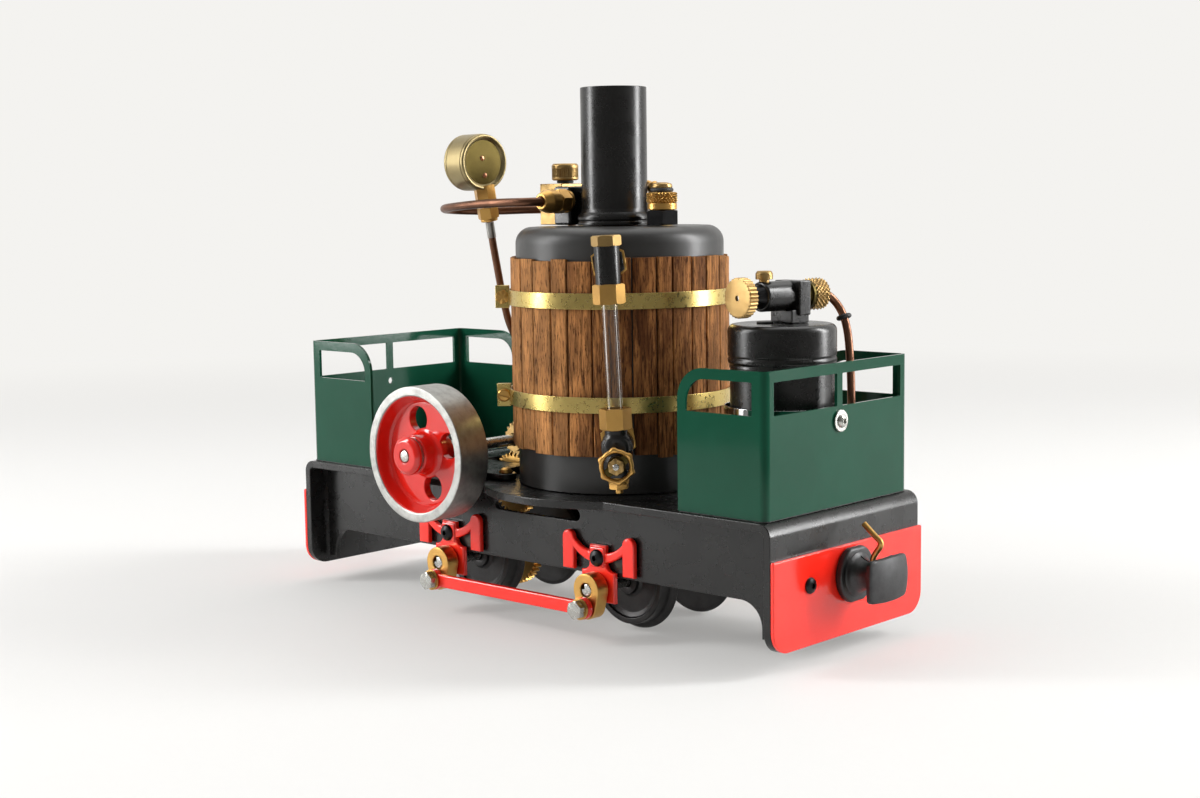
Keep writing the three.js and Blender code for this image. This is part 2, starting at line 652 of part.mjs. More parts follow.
// Pieces are drawn with +X pointing away from the boiler's axis and then turned to the gauge's side.
function atWaterGauge(geometry) {
  geometry.translate(0, 0, -GAUGE_TURN_Z).rotateX(WATER_GAUGE_LEAN).translate(0, 0, GAUGE_TURN_Z);
  return geometry.rotateZ(GAUGE_AZIMUTH - Math.PI / 2).translate(BOILER_X, 0, 0);
}

const GLASS_TOP_Z = 111.4;
const GLASS_LOW_Z = 72.6;
const DRAIN_Z = 58.3;

function waterGaugeTop() {
  const column = vec(WATER_GAUGE_R, 0, 0);
  const arm = vec(0, 0, 121);
  const body = joined(
    bar(4.6, column, Z_AXIS, 126.4, 129.9, 6),
    bar(4, column, Z_AXIS, 114.6, 126.6, 16),
    bar(5, column, Z_AXIS, 108.4, 114.8, 6),
    bar(2.6, arm, X_AXIS, LAGGING_R + GAP, WATER_GAUGE_R, 16),
    bar(5.2, arm, X_AXIS, LAGGING_R + GAP, LAGGING_R + 3, 6));
  return atWaterGauge(cut(body, bar(GLASS_R + GAP, column, Z_AXIS, 100, GLASS_TOP_Z + GAP, 16)));
}

function waterGaugeBottom() {
  const column = vec(WATER_GAUGE_R, 0, 0);
  const arm = vec(0, 0, 64.4);
  const valve = vec(0, 0, DRAIN_Z);
  const body = joined(
    bar(5, column, Z_AXIS, 68.8, 75.7, 6),
    bar(4.2, column, Z_AXIS, 53.6, 69, 16),
    bar(2.6, arm, X_AXIS, LAGGING_R + GAP, WATER_GAUGE_R, 16),
    bar(5.2, arm, X_AXIS, LAGGING_R + GAP, LAGGING_R + 3, 6),
    bar(3, valve, X_AXIS, WATER_GAUGE_R, WATER_GAUGE_R + 6.2, 12),
    bar(3.2, column, Z_AXIS, 50.4, 54, 12),
    bar(1.2, column, Z_AXIS, 48.6, 51, 12));
  return atWaterGauge(cut(
    body,
    bar(GLASS_R + GAP, column, Z_AXIS, GLASS_LOW_Z - GAP, 80, 16),
    bar(1.3, valve, X_AXIS, WATER_GAUGE_R + 3.4, WATER_GAUGE_R + 8, 12)));
}

function lobedShape(radius, lobes, height) {
  const points = [];
  const steps = lobes * 4;
  for (let i = 0; i < steps; i += 1) {
    const angle = (i / steps) * 2 * Math.PI;
    const r = radius + height * Math.max(0, Math.cos(lobes * angle)) ** 2;
    points.push(new THREE.Vector2(r * Math.cos(angle), r * Math.sin(angle)));
  }
  return new THREE.Shape(points);
}

function drainHandwheel() {
  const face = WATER_GAUGE_R + 6.6;
  const outline = lobedShape(5.6, 6, 0.8);
  outline.holes.push(roundHole(0, 0, 4.5));
  const rim = plateYZ(outline, face, face + 2.4, 6);
  const spokes = [0, 60, 120].map((degrees) => block(
    [face + 0.5, -5, -0.7], [face + 1.9, 5, 0.7]).rotateX(THREE.MathUtils.degToRad(degrees)));
  const origin = vec(0, 0, 0);
  const hub = bar(2.2, origin, X_AXIS, face, face + 3, 6);
  const spindle = bar(1, origin, X_AXIS, WATER_GAUGE_R + 3.8, face + 0.5, 12);
  return atWaterGauge(joined(rim, ...spokes, hub, spindle).translate(0, 0, DRAIN_Z));
}

add("water_gauge_top", waterGaugeTop(), brass);
add("water_gauge_bottom", waterGaugeBottom(), brass);
add("water_gauge_glass", atWaterGauge(turned(
  ring(GLASS_R - 0.8, GLASS_R, GLASS_LOW_Z, GLASS_TOP_Z), vec(WATER_GAUGE_R, 0, 0), Z_AXIS, 16)), clearGlass);
add("drain_handwheel", drainHandwheel(), brass);

// ---------------------------------------------------------------- gas tank

const TANK_FLOOR_Z = DECK_TOP + GAP + BUNKER_SHEET + GAP;
const VALVE_HEADING = THREE.MathUtils.degToRad(79); // the union end, 11 degrees off +Y
const VALVE_AXIS = vec(Math.cos(VALVE_HEADING), Math.sin(VALVE_HEADING), 0);
const VALVE_CENTRE = vec(TANK_X, 0, VALVE_Z);

function waterBath() {
  const low = TANK_FLOOR_Z;
  return turned([
    [0, low], [18.4, low], [18.4, 76.2], [17.9, 76.2], [17.9, low + 0.6], [0, low + 0.6],
  ], vec(TANK_X, 0, 0), Z_AXIS, 24);
}

function gasTank() {
  const low = TANK_FLOOR_Z + 0.6 + GAP;
  return turned([
    [0, low], [TANK_R, low], [TANK_R, 89.6], [TANK_LID_R, 90.2], [TANK_LID_R, TANK_TOP - 1.6],
    [TANK_LID_R - 1.6, TANK_TOP], [0, TANK_TOP],
  ], vec(TANK_X, 0, 0), Z_AXIS, 24);
}

// Post, needle-valve barrel, filling screw and union, all along one slanting axis over the tank.
function gasValveBody() {
  const along = (profile, sides) => turned(profile, VALVE_CENTRE, VALVE_AXIS, sides);
  const post = block([2.1, -5.85, TANK_TOP + GAP], [6.9, 5.85, VALVE_Z + 4.7]);
  post.rotateZ(VALVE_HEADING).translate(TANK_X, 0, 0);
  const barrel = along([[0, -14.2], [2.3, -14.2], [4, -9.6], [4.7, -9.2], [4.7, 3], [0, 3]], 12);
  const union = along([
    [0, 6.5], [4.4, 6.5], [4.4, 10.6], [5.2, 10.6], [5.2, 16.4], [4.4, 17.2], [0, 17.2],
  ], 12);
  const screwFoot = VALVE_CENTRE.clone().addScaledVector(VALVE_AXIS, -7.4);
  const screw = turned([
    [0, 2], [1.2, 2], [1.2, 6.6], [2.4, 6.6], [2.4, 8.6], [0, 8.6],
  ], screwFoot, Z_AXIS, 8);
  const spindleBore = bar(1.6, VALVE_CENTRE, VALVE_AXIS, -15, -8, 12);
  const pipeBore = bar(1.6, VALVE_CENTRE, VALVE_AXIS, 13, 18, 12);
  return cut(joined(post, barrel, union, screw), spindleBore, pipeBore);
}

function gasKnob() {
  return turned([
    [0, -18.5], [6.3, -18.5], [6.3, -15], [1.2, -15], [1.2, -9], [0, -9],
  ], VALVE_CENTRE, VALVE_AXIS, 16);
}

function gasPipe() {
  const exit = VALVE_CENTRE.clone().addScaledVector(VALVE_AXIS, 14);
  const bendStart = VALVE_CENTRE.clone().addScaledVector(VALVE_AXIS, 18.4);
  const route = [
    exit.toArray(), bendStart.toArray(), [88.2, 20.9, 107.6], [90.8, 21.4, 103.8], [92.8, 21.2, 98.5],
    [94.4, 20.6, 88], [95.2, 20.1, 76], [95.4, 20, 64], [95.4, 20, 52], [95.4, 20, 44], [93, 19.4, 39.4],
    [84, 17.4, 38.2], [66, 13.2, 38.2], [48, 8.6, 38.2], [34, 4.9, 38.2], [19.9, 1.2, 38.2],
  ];
  return tube(route, 1.3, 36, 8);
}

add("water_bath", waterBath(), steel);
add("gas_tank", gasTank(), satinBlack);
add("gas_valve_body", gasValveBody(), satinBlack);
add("gas_knob", gasKnob(), brass);
add("gas_pipe", gasPipe(), copper);

// ---------------------------------------------------------------- wheels, cranks and rods

function wheel(end, side) {
  const back = WHEEL_BACK_Y;
  const outer = back + WHEEL_WIDTH;
  const bore = AXLE_R + GAP;
  const profile = [
    [bore, back], [FLANGE_R, back], [FLANGE_R, back + 1.2], [TREAD_R, back + 1.9], [TREAD_R - 0.3, outer],
    [4.4, outer], [4.4, outer + 0.6], [bore, outer + 0.6], [bore, back],
  ];
  return turned(profile, vec(end * AXLE_X, 0, AXLE_Z), vec(0, side, 0), 24);
}

// A brass teardrop with its steel crank pin, washer and hexagon head.
function crank(end, side) {
  const angle = side < 0 ? NEAR_PIN_ANGLE : FAR_PIN_ANGLE;
  const centre = [end * AXLE_X, AXLE_Z];
  const pin = [centre[0] + CRANK_THROW * Math.cos(angle), centre[1] + CRANK_THROW * Math.sin(angle)];
  const shape = linkShape(centre, 5.4, pin, 4);
  shape.holes.push(roundHole(centre[0], centre[1], AXLE_R + GAP));
  const y0 = side < 0 ? -CRANK_OUTER_Y : CRANK_INNER_Y;
  const web = plateXZ(shape, y0, y0 + CRANK_OUTER_Y - CRANK_INNER_Y, 4);
  const outwards = vec(0, side, 0);
  const foot = vec(pin[0], 0, pin[1]);
  const washerY = ROD_OUTER_Y + GAP;
  const stud = turned([
    [0, CRANK_OUTER_Y - 2], [CRANK_PIN_R, CRANK_OUTER_Y - 2], [CRANK_PIN_R, washerY], [3.3, washerY],
    [3.3, washerY + 0.6], [0, washerY + 0.6],
  ], foot, outwards, 12);
  const head = bar(3.2, foot, outwards, washerY + 0.5, washerY + 2.9, 6);
  return joined(web, stud, head);
}

function couplingRod(side) {
  const angle = side < 0 ? NEAR_PIN_ANGLE : FAR_PIN_ANGLE;
  const dx = CRANK_THROW * Math.cos(angle);
  const z = AXLE_Z + CRANK_THROW * Math.sin(angle);
  const rearEye = [-AXLE_X + dx, z];
  const frontEye = [AXLE_X + dx, z];
  const eyeR = 3.6;
  const barHalf = 2.2;
  const notch = Math.asin(barHalf / eyeR);
  const shape = new THREE.Shape();
  shape.absarc(rearEye[0], z, eyeR, notch, 2 * Math.PI - notch);
  shape.absarc(frontEye[0], z, eyeR, Math.PI + notch, 3 * Math.PI - notch);
  shape.closePath();
  for (const eye of [rearEye, frontEye]) shape.holes.push(roundHole(eye[0], eye[1], CRANK_PIN_R + RUNNING));
  const y0 = side < 0 ? -ROD_OUTER_Y : ROD_INNER_Y;
  return plateXZ(shape, y0, y0 + ROD_OUTER_Y - ROD_INNER_Y, 6);
}

for (const [end, place] of [[1, "front"], [-1, "rear"]]) {
  const middle = vec(end * AXLE_X, 0, AXLE_Z);
  add(`${place}_axle`, bar(AXLE_R, middle, Y_AXIS, -CRANK_OUTER_Y + 0.3, CRANK_OUTER_Y - 0.3, 16), steel);
  for (const [side, label] of [[-1, "right"], [1, "left"]]) {
    add(`${place}_wheel_${label}`, wheel(end, side), blackedIron);
    add(`${place}_crank_${label}`, crank(end, side), brass);
  }
}
add("coupling_rod_right", couplingRod(-1), glossRed);
add("coupling_rod_left", couplingRod(1), glossRed);

// ---------------------------------------------------------------- gears

const PINION_R = (GEAR_MODULE * PINION_TEETH) / 2;
const IDLER_R = (GEAR_MODULE * IDLER_TEETH) / 2;
const AXLE_GEAR_R = (GEAR_MODULE * AXLE_GEAR_TEETH) / 2;

// The idler's centre is where both centre distances meet, on the side away from the boiler.
function idlerCentre() {
  const a = new THREE.Vector2(CRANKSHAFT_X, CRANKSHAFT_Z);
  const b = new THREE.Vector2(-AXLE_X, AXLE_Z);
  const span = a.distanceTo(b);
  const fromA = PINION_R + IDLER_R;
  const fromB = IDLER_R + AXLE_GEAR_R;
  const along = (fromA ** 2 - fromB ** 2 + span ** 2) / (2 * span);
  const off = Math.sqrt(Math.max(0, fromA ** 2 - along ** 2));
  const unit = b.clone().sub(a).divideScalar(span);
  return new THREE.Vector2(a.x + unit.x * along + unit.y * off, a.y + unit.y * along - unit.x * off);
}

// The phase of a driven gear whose teeth fill the gaps of the gear that drives it.
function meshedPhase(phase, radius, from, to, drivenRadius) {
  const heading = Math.atan2(to.y - from.y, to.x - from.x);
  const offset = phase - heading;
  return heading + Math.PI - (radius * offset + (Math.PI * GEAR_MODULE) / 2) / drivenRadius;
}

// Straight-flanked teeth with enough backlash for solids that never touch.
function gearShape(teeth, phase, centre, bore) {
  const pitch = (GEAR_MODULE * teeth) / 2;
  const step = (2 * Math.PI) / teeth;
  const root = pitch - 1.3 * GEAR_MODULE;
  const tip = pitch + 0.85 * GEAR_MODULE;
  const corners = [[root, -0.32], [tip, 0], [root, 0.32]];
  const points = [];
  for (let i = 0; i < teeth; i += 1) {
    for (const [radius, share] of corners) {
      const angle = phase + (i + share) * step;
      const corner = new THREE.Vector2(radius * Math.cos(angle), radius * Math.sin(angle));
      points.push(corner.add(centre));
    }
  }
  const shape = new THREE.Shape(points);
  if (bore > 0) shape.holes.push(roundHole(centre.x, centre.y, bore));
  return shape;
}

const crankshaftCentre = new THREE.Vector2(CRANKSHAFT_X, CRANKSHAFT_Z);
const rearAxleCentre = new THREE.Vector2(-AXLE_X, AXLE_Z);
const idler = idlerCentre();
const idlerPhase = meshedPhase(0, PINION_R, crankshaftCentre, idler, IDLER_R);
const axleGearPhase = meshedPhase(idlerPhase, IDLER_R, idler, rearAxleCentre, AXLE_GEAR_R);
const gearLow = GEAR_Y - GEAR_WIDTH / 2;
const gearHigh = GEAR_Y + GEAR_WIDTH / 2;

function idlerGear() {
  const toothed = plateXZ(gearShape(IDLER_TEETH, idlerPhase, idler, 0), gearLow, gearHigh);
  const origin = vec(idler.x, 0, idler.y);
  const hub = bar(3.6, origin, Y_AXIS, -7.4, gearHigh + 0.6, 12);
  const stub = bar(1.9, origin, Y_AXIS, -10.7, -7, 12);
  return joined(toothed, hub, stub);
}

function axleGear() {
  const shape = gearShape(AXLE_GEAR_TEETH, axleGearPhase, rearAxleCentre, AXLE_R + GAP);
  const hub = turned(ring(AXLE_R + GAP, 4.6, gearLow, gearHigh + 3.5), vec(-AXLE_X, 0, AXLE_Z), Y_AXIS, 12);
  return joined(plateXZ(shape, gearLow, gearHigh, 3), hub);
}

function pinion() {
  const shape = gearShape(PINION_TEETH, 0, crankshaftCentre, CRANKSHAFT_R + GAP);
  const origin = vec(CRANKSHAFT_X, 0, CRANKSHAFT_Z);
  const hub = turned(ring(CRANKSHAFT_R + GAP, 4.2, gearLow - 2.6, gearHigh), origin, Y_AXIS, 12);
  return joined(plateXZ(shape, gearLow - 0.5, gearHigh + 0.5, 3), hub);
}

add("pinion", pinion(), brass);
add("idler_gear", idlerGear(), brass);
add("axle_gear", axleGear(), brass);

// ---------------------------------------------------------------- engine

const SHAFT = vec(CRANKSHAFT_X, 0, CRANKSHAFT_Z);
const PORT_FACE_Y = 23;
const FRAME_PLATE = 3;
const BIG_END_Z = CRANKSHAFT_Z + ENGINE_THROW;

// Foot, near bearing, tall port plate at the far side, and the lug that hangs to carry the idler.
function engineFrame() {
  const low = DECK_TOP + GAP;
  const foot = cut(
    block([-52, -34, low], [-21.4, PORT_FACE_Y, low + 2.2]),
    block([-44.8, -8.2, low - 1], [-20, 0.6, low + 4]));
  const bearingOutline = polygon([[-41, low], [-20, low], [-25.5, 61.5], [-35.5, 61.5]]);
  const nearBearing = plateXZ(bearingOutline, -34, -30);
  const plateOutline = polygon([[-43, low], [-18, low], [-23, 98], [-38, 98]]);
  const portPlate = plateXZ(plateOutline, PORT_FACE_Y - FRAME_PLATE, PORT_FACE_Y);
  const lug = block([idler.x - 5, -10.4, idler.y - 5], [idler.x + 5, -8.2, low + 2.2]);
  const shaftHole = bar(CRANKSHAFT_R + RUNNING, SHAFT, Y_AXIS, -60, 60, 16);
  const idlerHole = bar(1.9 + RUNNING, vec(idler.x, 0, idler.y), Y_AXIS, -12, -7.6, 16);
  const pivotHole = bar(1.5 + RUNNING, vec(CRANKSHAFT_X, 0, CYLINDER_PIVOT_Z), Y_AXIS, 10, 30, 16);
  return cut(joined(foot, nearBearing, portPlate, lug), shaftHole, idlerHole, pivotHole);
}

// Turned rim, dished web with four holes and a long grooved hub.
function flywheel() {
  const outer = FLYWHEEL_OUTER_Y;
  const inner = outer + FLYWHEEL_WIDTH;
  const web = outer + 5.2;
  const bore = CRANKSHAFT_R + GAP;
  const profile = [
    [bore, HUB_FACE_Y], [6.2, HUB_FACE_Y], [6.2, web], [17.4, web], [19.6, outer], [FLYWHEEL_R, outer],
    [FLYWHEEL_R, inner], [18.6, inner], [17.4, web + 3], [6.4, web + 3], [6.4, inner], [bore, inner],
    [bore, HUB_FACE_Y],
  ];
  const wheelBody = turned(profile, SHAFT, Y_AXIS, 32);
  const holes = [0, 1, 2, 3].map((i) => {
    const angle = (i * Math.PI) / 2 + THREE.MathUtils.degToRad(106);
    const x = CRANKSHAFT_X + 12 * Math.cos(angle);
    const z = CRANKSHAFT_Z + 12 * Math.sin(angle);
    return bar(4.2, vec(x, 0, z), Y_AXIS, web - 2, web + 6, 10);
  });
  return cut(wheelBody, ...holes);
}

// The shaft with its crank disc and crank pin pressed on the far end.
function crankshaft() {
  const inner = PORT_FACE_Y + 0.4;
  const shaft = bar(CRANKSHAFT_R, SHAFT, Y_AXIS, HUB_FACE_Y + 0.1, 26.2, 16);
  const web = bar(9.2, SHAFT, Y_AXIS, inner, inner + 3, 20);
  const pin = bar(1.3, vec(CRANKSHAFT_X, 0, BIG_END_Z), Y_AXIS, inner + 1, CYLINDER_Y - 2.8, 12);
  return joined(shaft, web, pin);
}

function cylinder() {
  const low = 71;
  const high = 97;
  const body = block([CRANKSHAFT_X - 7, PORT_FACE_Y + GAP, low], [CRANKSHAFT_X + 7, CYLINDER_Y + 7, high]);
  const pivot = bar(1.5, vec(CRANKSHAFT_X, 0, CYLINDER_PIVOT_Z), Y_AXIS, 18, PORT_FACE_Y + 1, 16);
  const bore = bar(5, vec(CRANKSHAFT_X, CYLINDER_Y, 0), Z_AXIS, low - 1, high - 3, 16);
  return cut(joined(body, pivot), bore);
}

function pistonRod() {
  const origin = vec(CRANKSHAFT_X, CYLINDER_Y, 0);
  const piston = bar(4.7, origin, Z_AXIS, 86.5, 92.5, 16);
  const rod = bar(1.3, origin, Z_AXIS, BIG_END_Z, 87, 12);
  const bigEnd = bar(3, vec(CRANKSHAFT_X, 0, BIG_END_Z), Y_AXIS, CYLINDER_Y - 2.5, CYLINDER_Y + 2.5, 16);
  return joined(piston, rod, bigEnd);
}

add("engine_frame", engineFrame(), satinBlack);
add("crankshaft", crankshaft(), steel);
add("flywheel", flywheel(), steel);
add("cylinder", cylinder(), brass);
add("piston_rod", pistonRod(), steel);

export default engine;
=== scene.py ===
"""The looks of a small vertical-boiler live-steam locomotive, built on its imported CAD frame.

Pieces are drawn in millimetres with Y = 0 on the middle of the track, as the CAD draws them, and piece()
turns them into metres in the row frame. Right is the flywheel side (-Y), front is the gas-tank end (+X).
"""
import math
import random

import bmesh
import bpy
from mathutils import Matrix, Vector


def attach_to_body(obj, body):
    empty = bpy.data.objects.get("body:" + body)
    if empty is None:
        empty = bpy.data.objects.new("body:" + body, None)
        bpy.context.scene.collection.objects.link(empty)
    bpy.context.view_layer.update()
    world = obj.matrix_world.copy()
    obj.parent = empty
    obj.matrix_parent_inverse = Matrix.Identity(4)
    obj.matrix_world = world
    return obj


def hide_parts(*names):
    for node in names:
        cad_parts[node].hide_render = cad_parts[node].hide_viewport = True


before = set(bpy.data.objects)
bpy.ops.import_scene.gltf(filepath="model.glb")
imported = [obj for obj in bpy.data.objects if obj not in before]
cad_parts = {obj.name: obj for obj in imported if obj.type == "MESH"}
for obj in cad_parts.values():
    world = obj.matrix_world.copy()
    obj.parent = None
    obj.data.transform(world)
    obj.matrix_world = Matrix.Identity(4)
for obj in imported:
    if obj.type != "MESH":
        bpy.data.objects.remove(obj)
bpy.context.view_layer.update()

MM = 0.001
SIDE_SHIFT = 5.25  # the CAD moves the engine this far along +Y to centre its box
GAP = 0.3

X_AXIS, Y_AXIS, Z_AXIS = Vector((1, 0, 0)), Vector((0, 1, 0)), Vector((0, 0, 1))

AXLE_X, AXLE_Z = 35.0, 16.8
CRANK_THROW = 5.5
DECK_HALF_LENGTH, DECK_HALF_WIDTH, DECK_TOP, DECK_SHEET = 107.8, 39.5, 46.0, 2.5
SKIRT_Z, CORNER_R = 6.9, 7.0
FRAME_Y, FRAME_SHEET = 32.6, 1.8
COUPLER_Z, COUPLER_APEX_X = 25.7, 124.4
BUNKER_NEAR_X, BUNKER_FAR_X, BUNKER_HALF_WIDTH, BUNKER_TOP = 71.3, 104.8, 37.6, 90.5
WINDOW_LOW_Z, WINDOW_TOP_Z = 77.2, 87.2
BOILER_X, BOILER_R, BOILER_TOP = 15.0, 35.0, 132.0
LAGGING_R, LAGGING_LOW_Z, LAGGING_TOP_Z = 37.0, 58.0, 122.7
BAND_Z, BAND_WIDTH = (75.4, 108.7), 5.1
CHIMNEY_X, CHIMNEY_R, CHIMNEY_TOP = 13.0, 11.1, 178.0
SHAFT = Vector((-30.5, 0, 56.4))
ENGINE_THROW = 6.5
GEAR_MODULE = 0.6
GAUGE_ANGLE = math.radians(38.5)  # the water gauge stands this far round from -Y towards +X
TANK_X, VALVE_Z = 82.9, 110.3


# ---------------------------------------------------------------- outlines

def arc(cx, cy, radius, start, end, steps=8):
    """Points on an arc, in degrees, both ends included."""
    angles = [math.radians(start + (end - start) * i / steps) for i in range(steps + 1)]
    return [(cx + radius * math.cos(a), cy + radius * math.sin(a)) for a in angles]


def bend(start, control, end, steps=8):
    """Points of a quadratic curve after its start."""
    made = []
    for i in range(1, steps + 1):
        t = i / steps
        made.append(tuple(
            (1 - t) ** 2 * start[k] + 2 * t * (1 - t) * control[k] + t * t * end[k] for k in range(2)))
    return made


def circle(cx, cy, radius, steps=40):
    return arc(cx, cy, radius, 0, 360, steps)[:-1]


def rounded_rectangle(x0, y0, x1, y1, radii, steps=8):
    """Radii are lower left, lower right, upper right, upper left."""
    ll, lr, ur, ul = radii
    return (arc(x0 + ll, y0 + ll, ll, 180, 270, steps) + arc(x1 - lr, y0 + lr, lr, 270, 360, steps)
            + arc(x1 - ur, y1 - ur, ur, 0, 90, steps) + arc(x0 + ul, y1 - ul, ul, 90, 180, steps))


def link_outline(a, radius_a, b, radius_b, steps=20):
    """Two round ends joined by their tangents."""
    heading = math.degrees(math.atan2(b[1] - a[1], b[0] - a[0]))
    tilt = math.degrees(math.acos((radius_a - radius_b) / math.dist(a, b)))
    return (arc(*a, radius_a, heading + tilt, heading - tilt + 360, steps)
            + arc(*b, radius_b, heading - tilt, heading + tilt, steps))


def softened(profile, radius, closed):
    """The profile with its corners rounded to about that radius."""
    points = [Vector(p) for p in (profile[:-1] if closed else profile)]
    made = []
    for i, corner in enumerate(points):
        if not closed and i in (0, len(points) - 1):
            made.append(corner)
            continue
        before, after = points[i - 1] - corner, points[(i + 1) % len(points)] - corner
        turn = math.pi - before.angle(after, math.pi)
        reach = min(radius, before.length * 0.45, after.length * 0.45)
        if turn < math.radians(14) or reach < 0.01:
            made.append(corner)
            continue
        start = corner + before.normalized() * reach
        end = corner + after.normalized() * reach
        made.append(start)
        made.extend(Vector(p) for p in bend(start, corner, end, 3))
    return made + made[:1] if closed else made


# ---------------------------------------------------------------- solids, as bmeshes in millimetres

def loft(rows, ring=False, cap=False, into=None):
    """Skins closed rows of points. A row of one point is a pole; ring joins the last row to the first."""
    solid = into or bmesh.new()
    made = [[solid.verts.new(p) for p in row] for row in rows]
    pairs = list(zip(made, made[1:]))
    if ring:
        pairs.append((made[-1], made[0]))
    for low, high in pairs:
        count = max(len(low), len(high))
        for i in range(count):
            j = (i + 1) % count
            corners = [low[i % len(low)], low[j % len(low)], high[j % len(high)], high[i % len(high)]]
            corners = list(dict.fromkeys(corners))
            if len(corners) > 2:
                solid.faces.new(corners)
    if cap:
        solid.faces.new(made[0])
        solid.faces.new(made[-1])
    return solid


def aimed(solid, origin, direction, turn=0.0):
    """Turns +Z of the solid to the direction and moves its zero to the origin."""
    spin = Matrix.Rotation(math.radians(turn), 4, "Z")
    tilt = Z_AXIS.rotation_difference(Vector(direction)).to_matrix().to_4x4()
    solid.transform(Matrix.Translation(Vector(origin)) @ tilt @ spin)
    return solid


def circle_row(radius, z, count):
    angles = [2 * math.pi * i / count for i in range(count)]
    return [(radius * math.cos(a), radius * math.sin(a), z) for a in angles]


def turned(profile, origin=(0, 0, 0), direction=Z_AXIS, sides=64, soft=0.2):
    """A solid of revolution; the profile holds (radius, distance along the axis)."""
    closed = tuple(profile[0]) == tuple(profile[-1])
    points = softened(profile, soft, closed) if soft else [Vector(p) for p in profile]
    rows = []
    for radius, along in (points[:-1] if closed else points):
        rows.append(circle_row(radius, along, sides) if radius >= 1e-6 else [(0, 0, along)])
    return aimed(loft(rows, ring=closed), origin, direction)


def disc(radius, low, high, origin=(0, 0, 0), direction=Z_AXIS, sides=48, soft=0.15):
    return turned([(0, low), (radius, low), (radius, high), (0, high)], origin, direction, sides, soft)


def ring(inner, outer, low, high, origin=(0, 0, 0), direction=Z_AXIS, sides=64, soft=0.15):
    profile = [(inner, low), (outer, low), (outer, high), (inner, high), (inner, low)]
    return turned(profile, origin, direction, sides, soft)


def nut(across, low, high, origin=(0, 0, 0), direction=Z_AXIS, bore=0.0, turn=0.0, sides=6, chamfer=1.03):
    """A polygonal bar whose corners are cut by the cone of a turned nut."""
    per_side = 8
    count = sides * per_side
    step = 2 * math.pi / sides
    cone = across / 2 * chamfer
    edge = 0.06
    spokes = []
    for i in range(count):
        angle = 2 * math.pi * i / count
        radius = across / 2 / math.cos((angle + 1e-9) % step - step / 2)
        spokes.append((angle, radius))

    def row(size, z):
        return [(size(r) * math.cos(a), size(r) * math.sin(a), z(r)) for a, r in spokes]

    def end_row(at):
        return row(lambda r: min(r, cone) - edge, lambda r: at)

    def drop(r):
        return edge + max(0.0, r - cone) * 0.58

    sides_low = row(lambda r: r, lambda r: low + drop(r))
    sides_high = row(lambda r: r, lambda r: high - drop(r))
    rows = [end_row(low), sides_low, sides_high, end_row(high)]
    if bore:
        hole = [row(lambda r: bore, lambda r: at) for at in (high, low)]
        return aimed(loft(rows + hole, ring=True), origin, direction, turn)
    return aimed(loft([[(0, 0, low)], *rows, [(0, 0, high)]]), origin, direction, turn)


def ridge(value):
    return 1 - abs(2 * (value % 1.0) - 1)


def knurled(radius, depth, low, high, teeth, diamond, origin, direction, bore=0.0, edge=0.5):
    """A knurled drum: straight ridges, or raised diamonds."""
    samples = 6
    count = teeth * samples
    pitch = 2 * math.pi * radius / teeth * 1.15
    steps = max(2, round((high - low) / pitch * samples)) if diamond else 2
    core = radius - depth

    def row(z, lift):
        made = []
        for i in range(count):
            angle = 2 * math.pi * i / count
            across = i / samples
            if diamond:
                height = min(ridge(across + z / pitch), ridge(across - z / pitch))
            else:
                height = min(1.0, 1.6 * ridge(across))
            size = core + depth * height * lift
            made.append((size * math.cos(angle), size * math.sin(angle), z))
        return made

    rows = [row(low + edge + (high - low - 2 * edge) * i / steps, 1.0) for i in range(steps + 1)]
    end_r = core - edge * 0.7
    first = [(x * end_r / core, y * end_r / core, low) for x, y, _ in row(low, 0.0)]
    last = [(x, y, high) for x, y, _ in first]
    rows = [first, *rows, last]
    if bore:
        rows += [circle_row(bore, z, count) for z in (high, low)]
        return aimed(loft(rows, ring=True), origin, direction)
    return aimed(loft([[(0, 0, low)], *rows, [(0, 0, high)]]), origin, direction)


PLANES = {
    "xy": Matrix(((1, 0, 0, 0), (0, 1, 0, 0), (0, 0, 1, 0), (0, 0, 0, 1))),
    "xz": Matrix(((1, 0, 0, 0), (0, 0, 1, 0), (0, 1, 0, 0), (0, 0, 0, 1))),
    "yz": Matrix(((0, 0, 1, 0), (1, 0, 0, 0), (0, 1, 0, 0), (0, 0, 0, 1))),
}


def prism(outline, low, high, plane="xy"):
    """A plain extrusion, for cutting and joining."""
    solid = loft([[(x, y, low) for x, y in outline], [(x, y, high) for x, y in outline]], cap=True)
    solid.transform(PLANES[plane])
    return solid


def solid_from_curve(curve):
    """The shape that a curve or text draws; the curve is used up."""
    holder = bpy.data.objects.new("curve", curve)
    mesh = bpy.data.meshes.new_from_object(holder)
    solid = bmesh.new()
    solid.from_mesh(mesh)
    bpy.data.meshes.remove(mesh)
    bpy.data.objects.remove(holder)
    bpy.data.curves.remove(curve)
    return solid


def plate(outline, low, high, plane="xy", holes=(), edge=0.3):
    """A flat plate with rounded edges. Its holes lie inside the outline; a cut across it needs combined()."""
    curve = bpy.data.curves.new("plate", "CURVE")
    curve.dimensions = "2D"
    curve.fill_mode = "BOTH"
    curve.extrude = (high - low) / 2 - edge
    curve.bevel_depth = edge
    curve.offset = -edge
    curve.bevel_resolution = 2
    for loop in (outline, *holes):
        spline = curve.splines.new("POLY")
        spline.points.add(len(loop) - 1)
        for point, (x, y) in zip(spline.points, loop):
            point.co = (x, y, 0, 1)
        spline.use_cyclic_u = True
    solid = solid_from_curve(curve)
    bmesh.ops.remove_doubles(solid, verts=solid.verts, dist=0.001)
    solid.transform(PLANES[plane] @ Matrix.Translation((0, 0, (low + high) / 2)))
    return solid


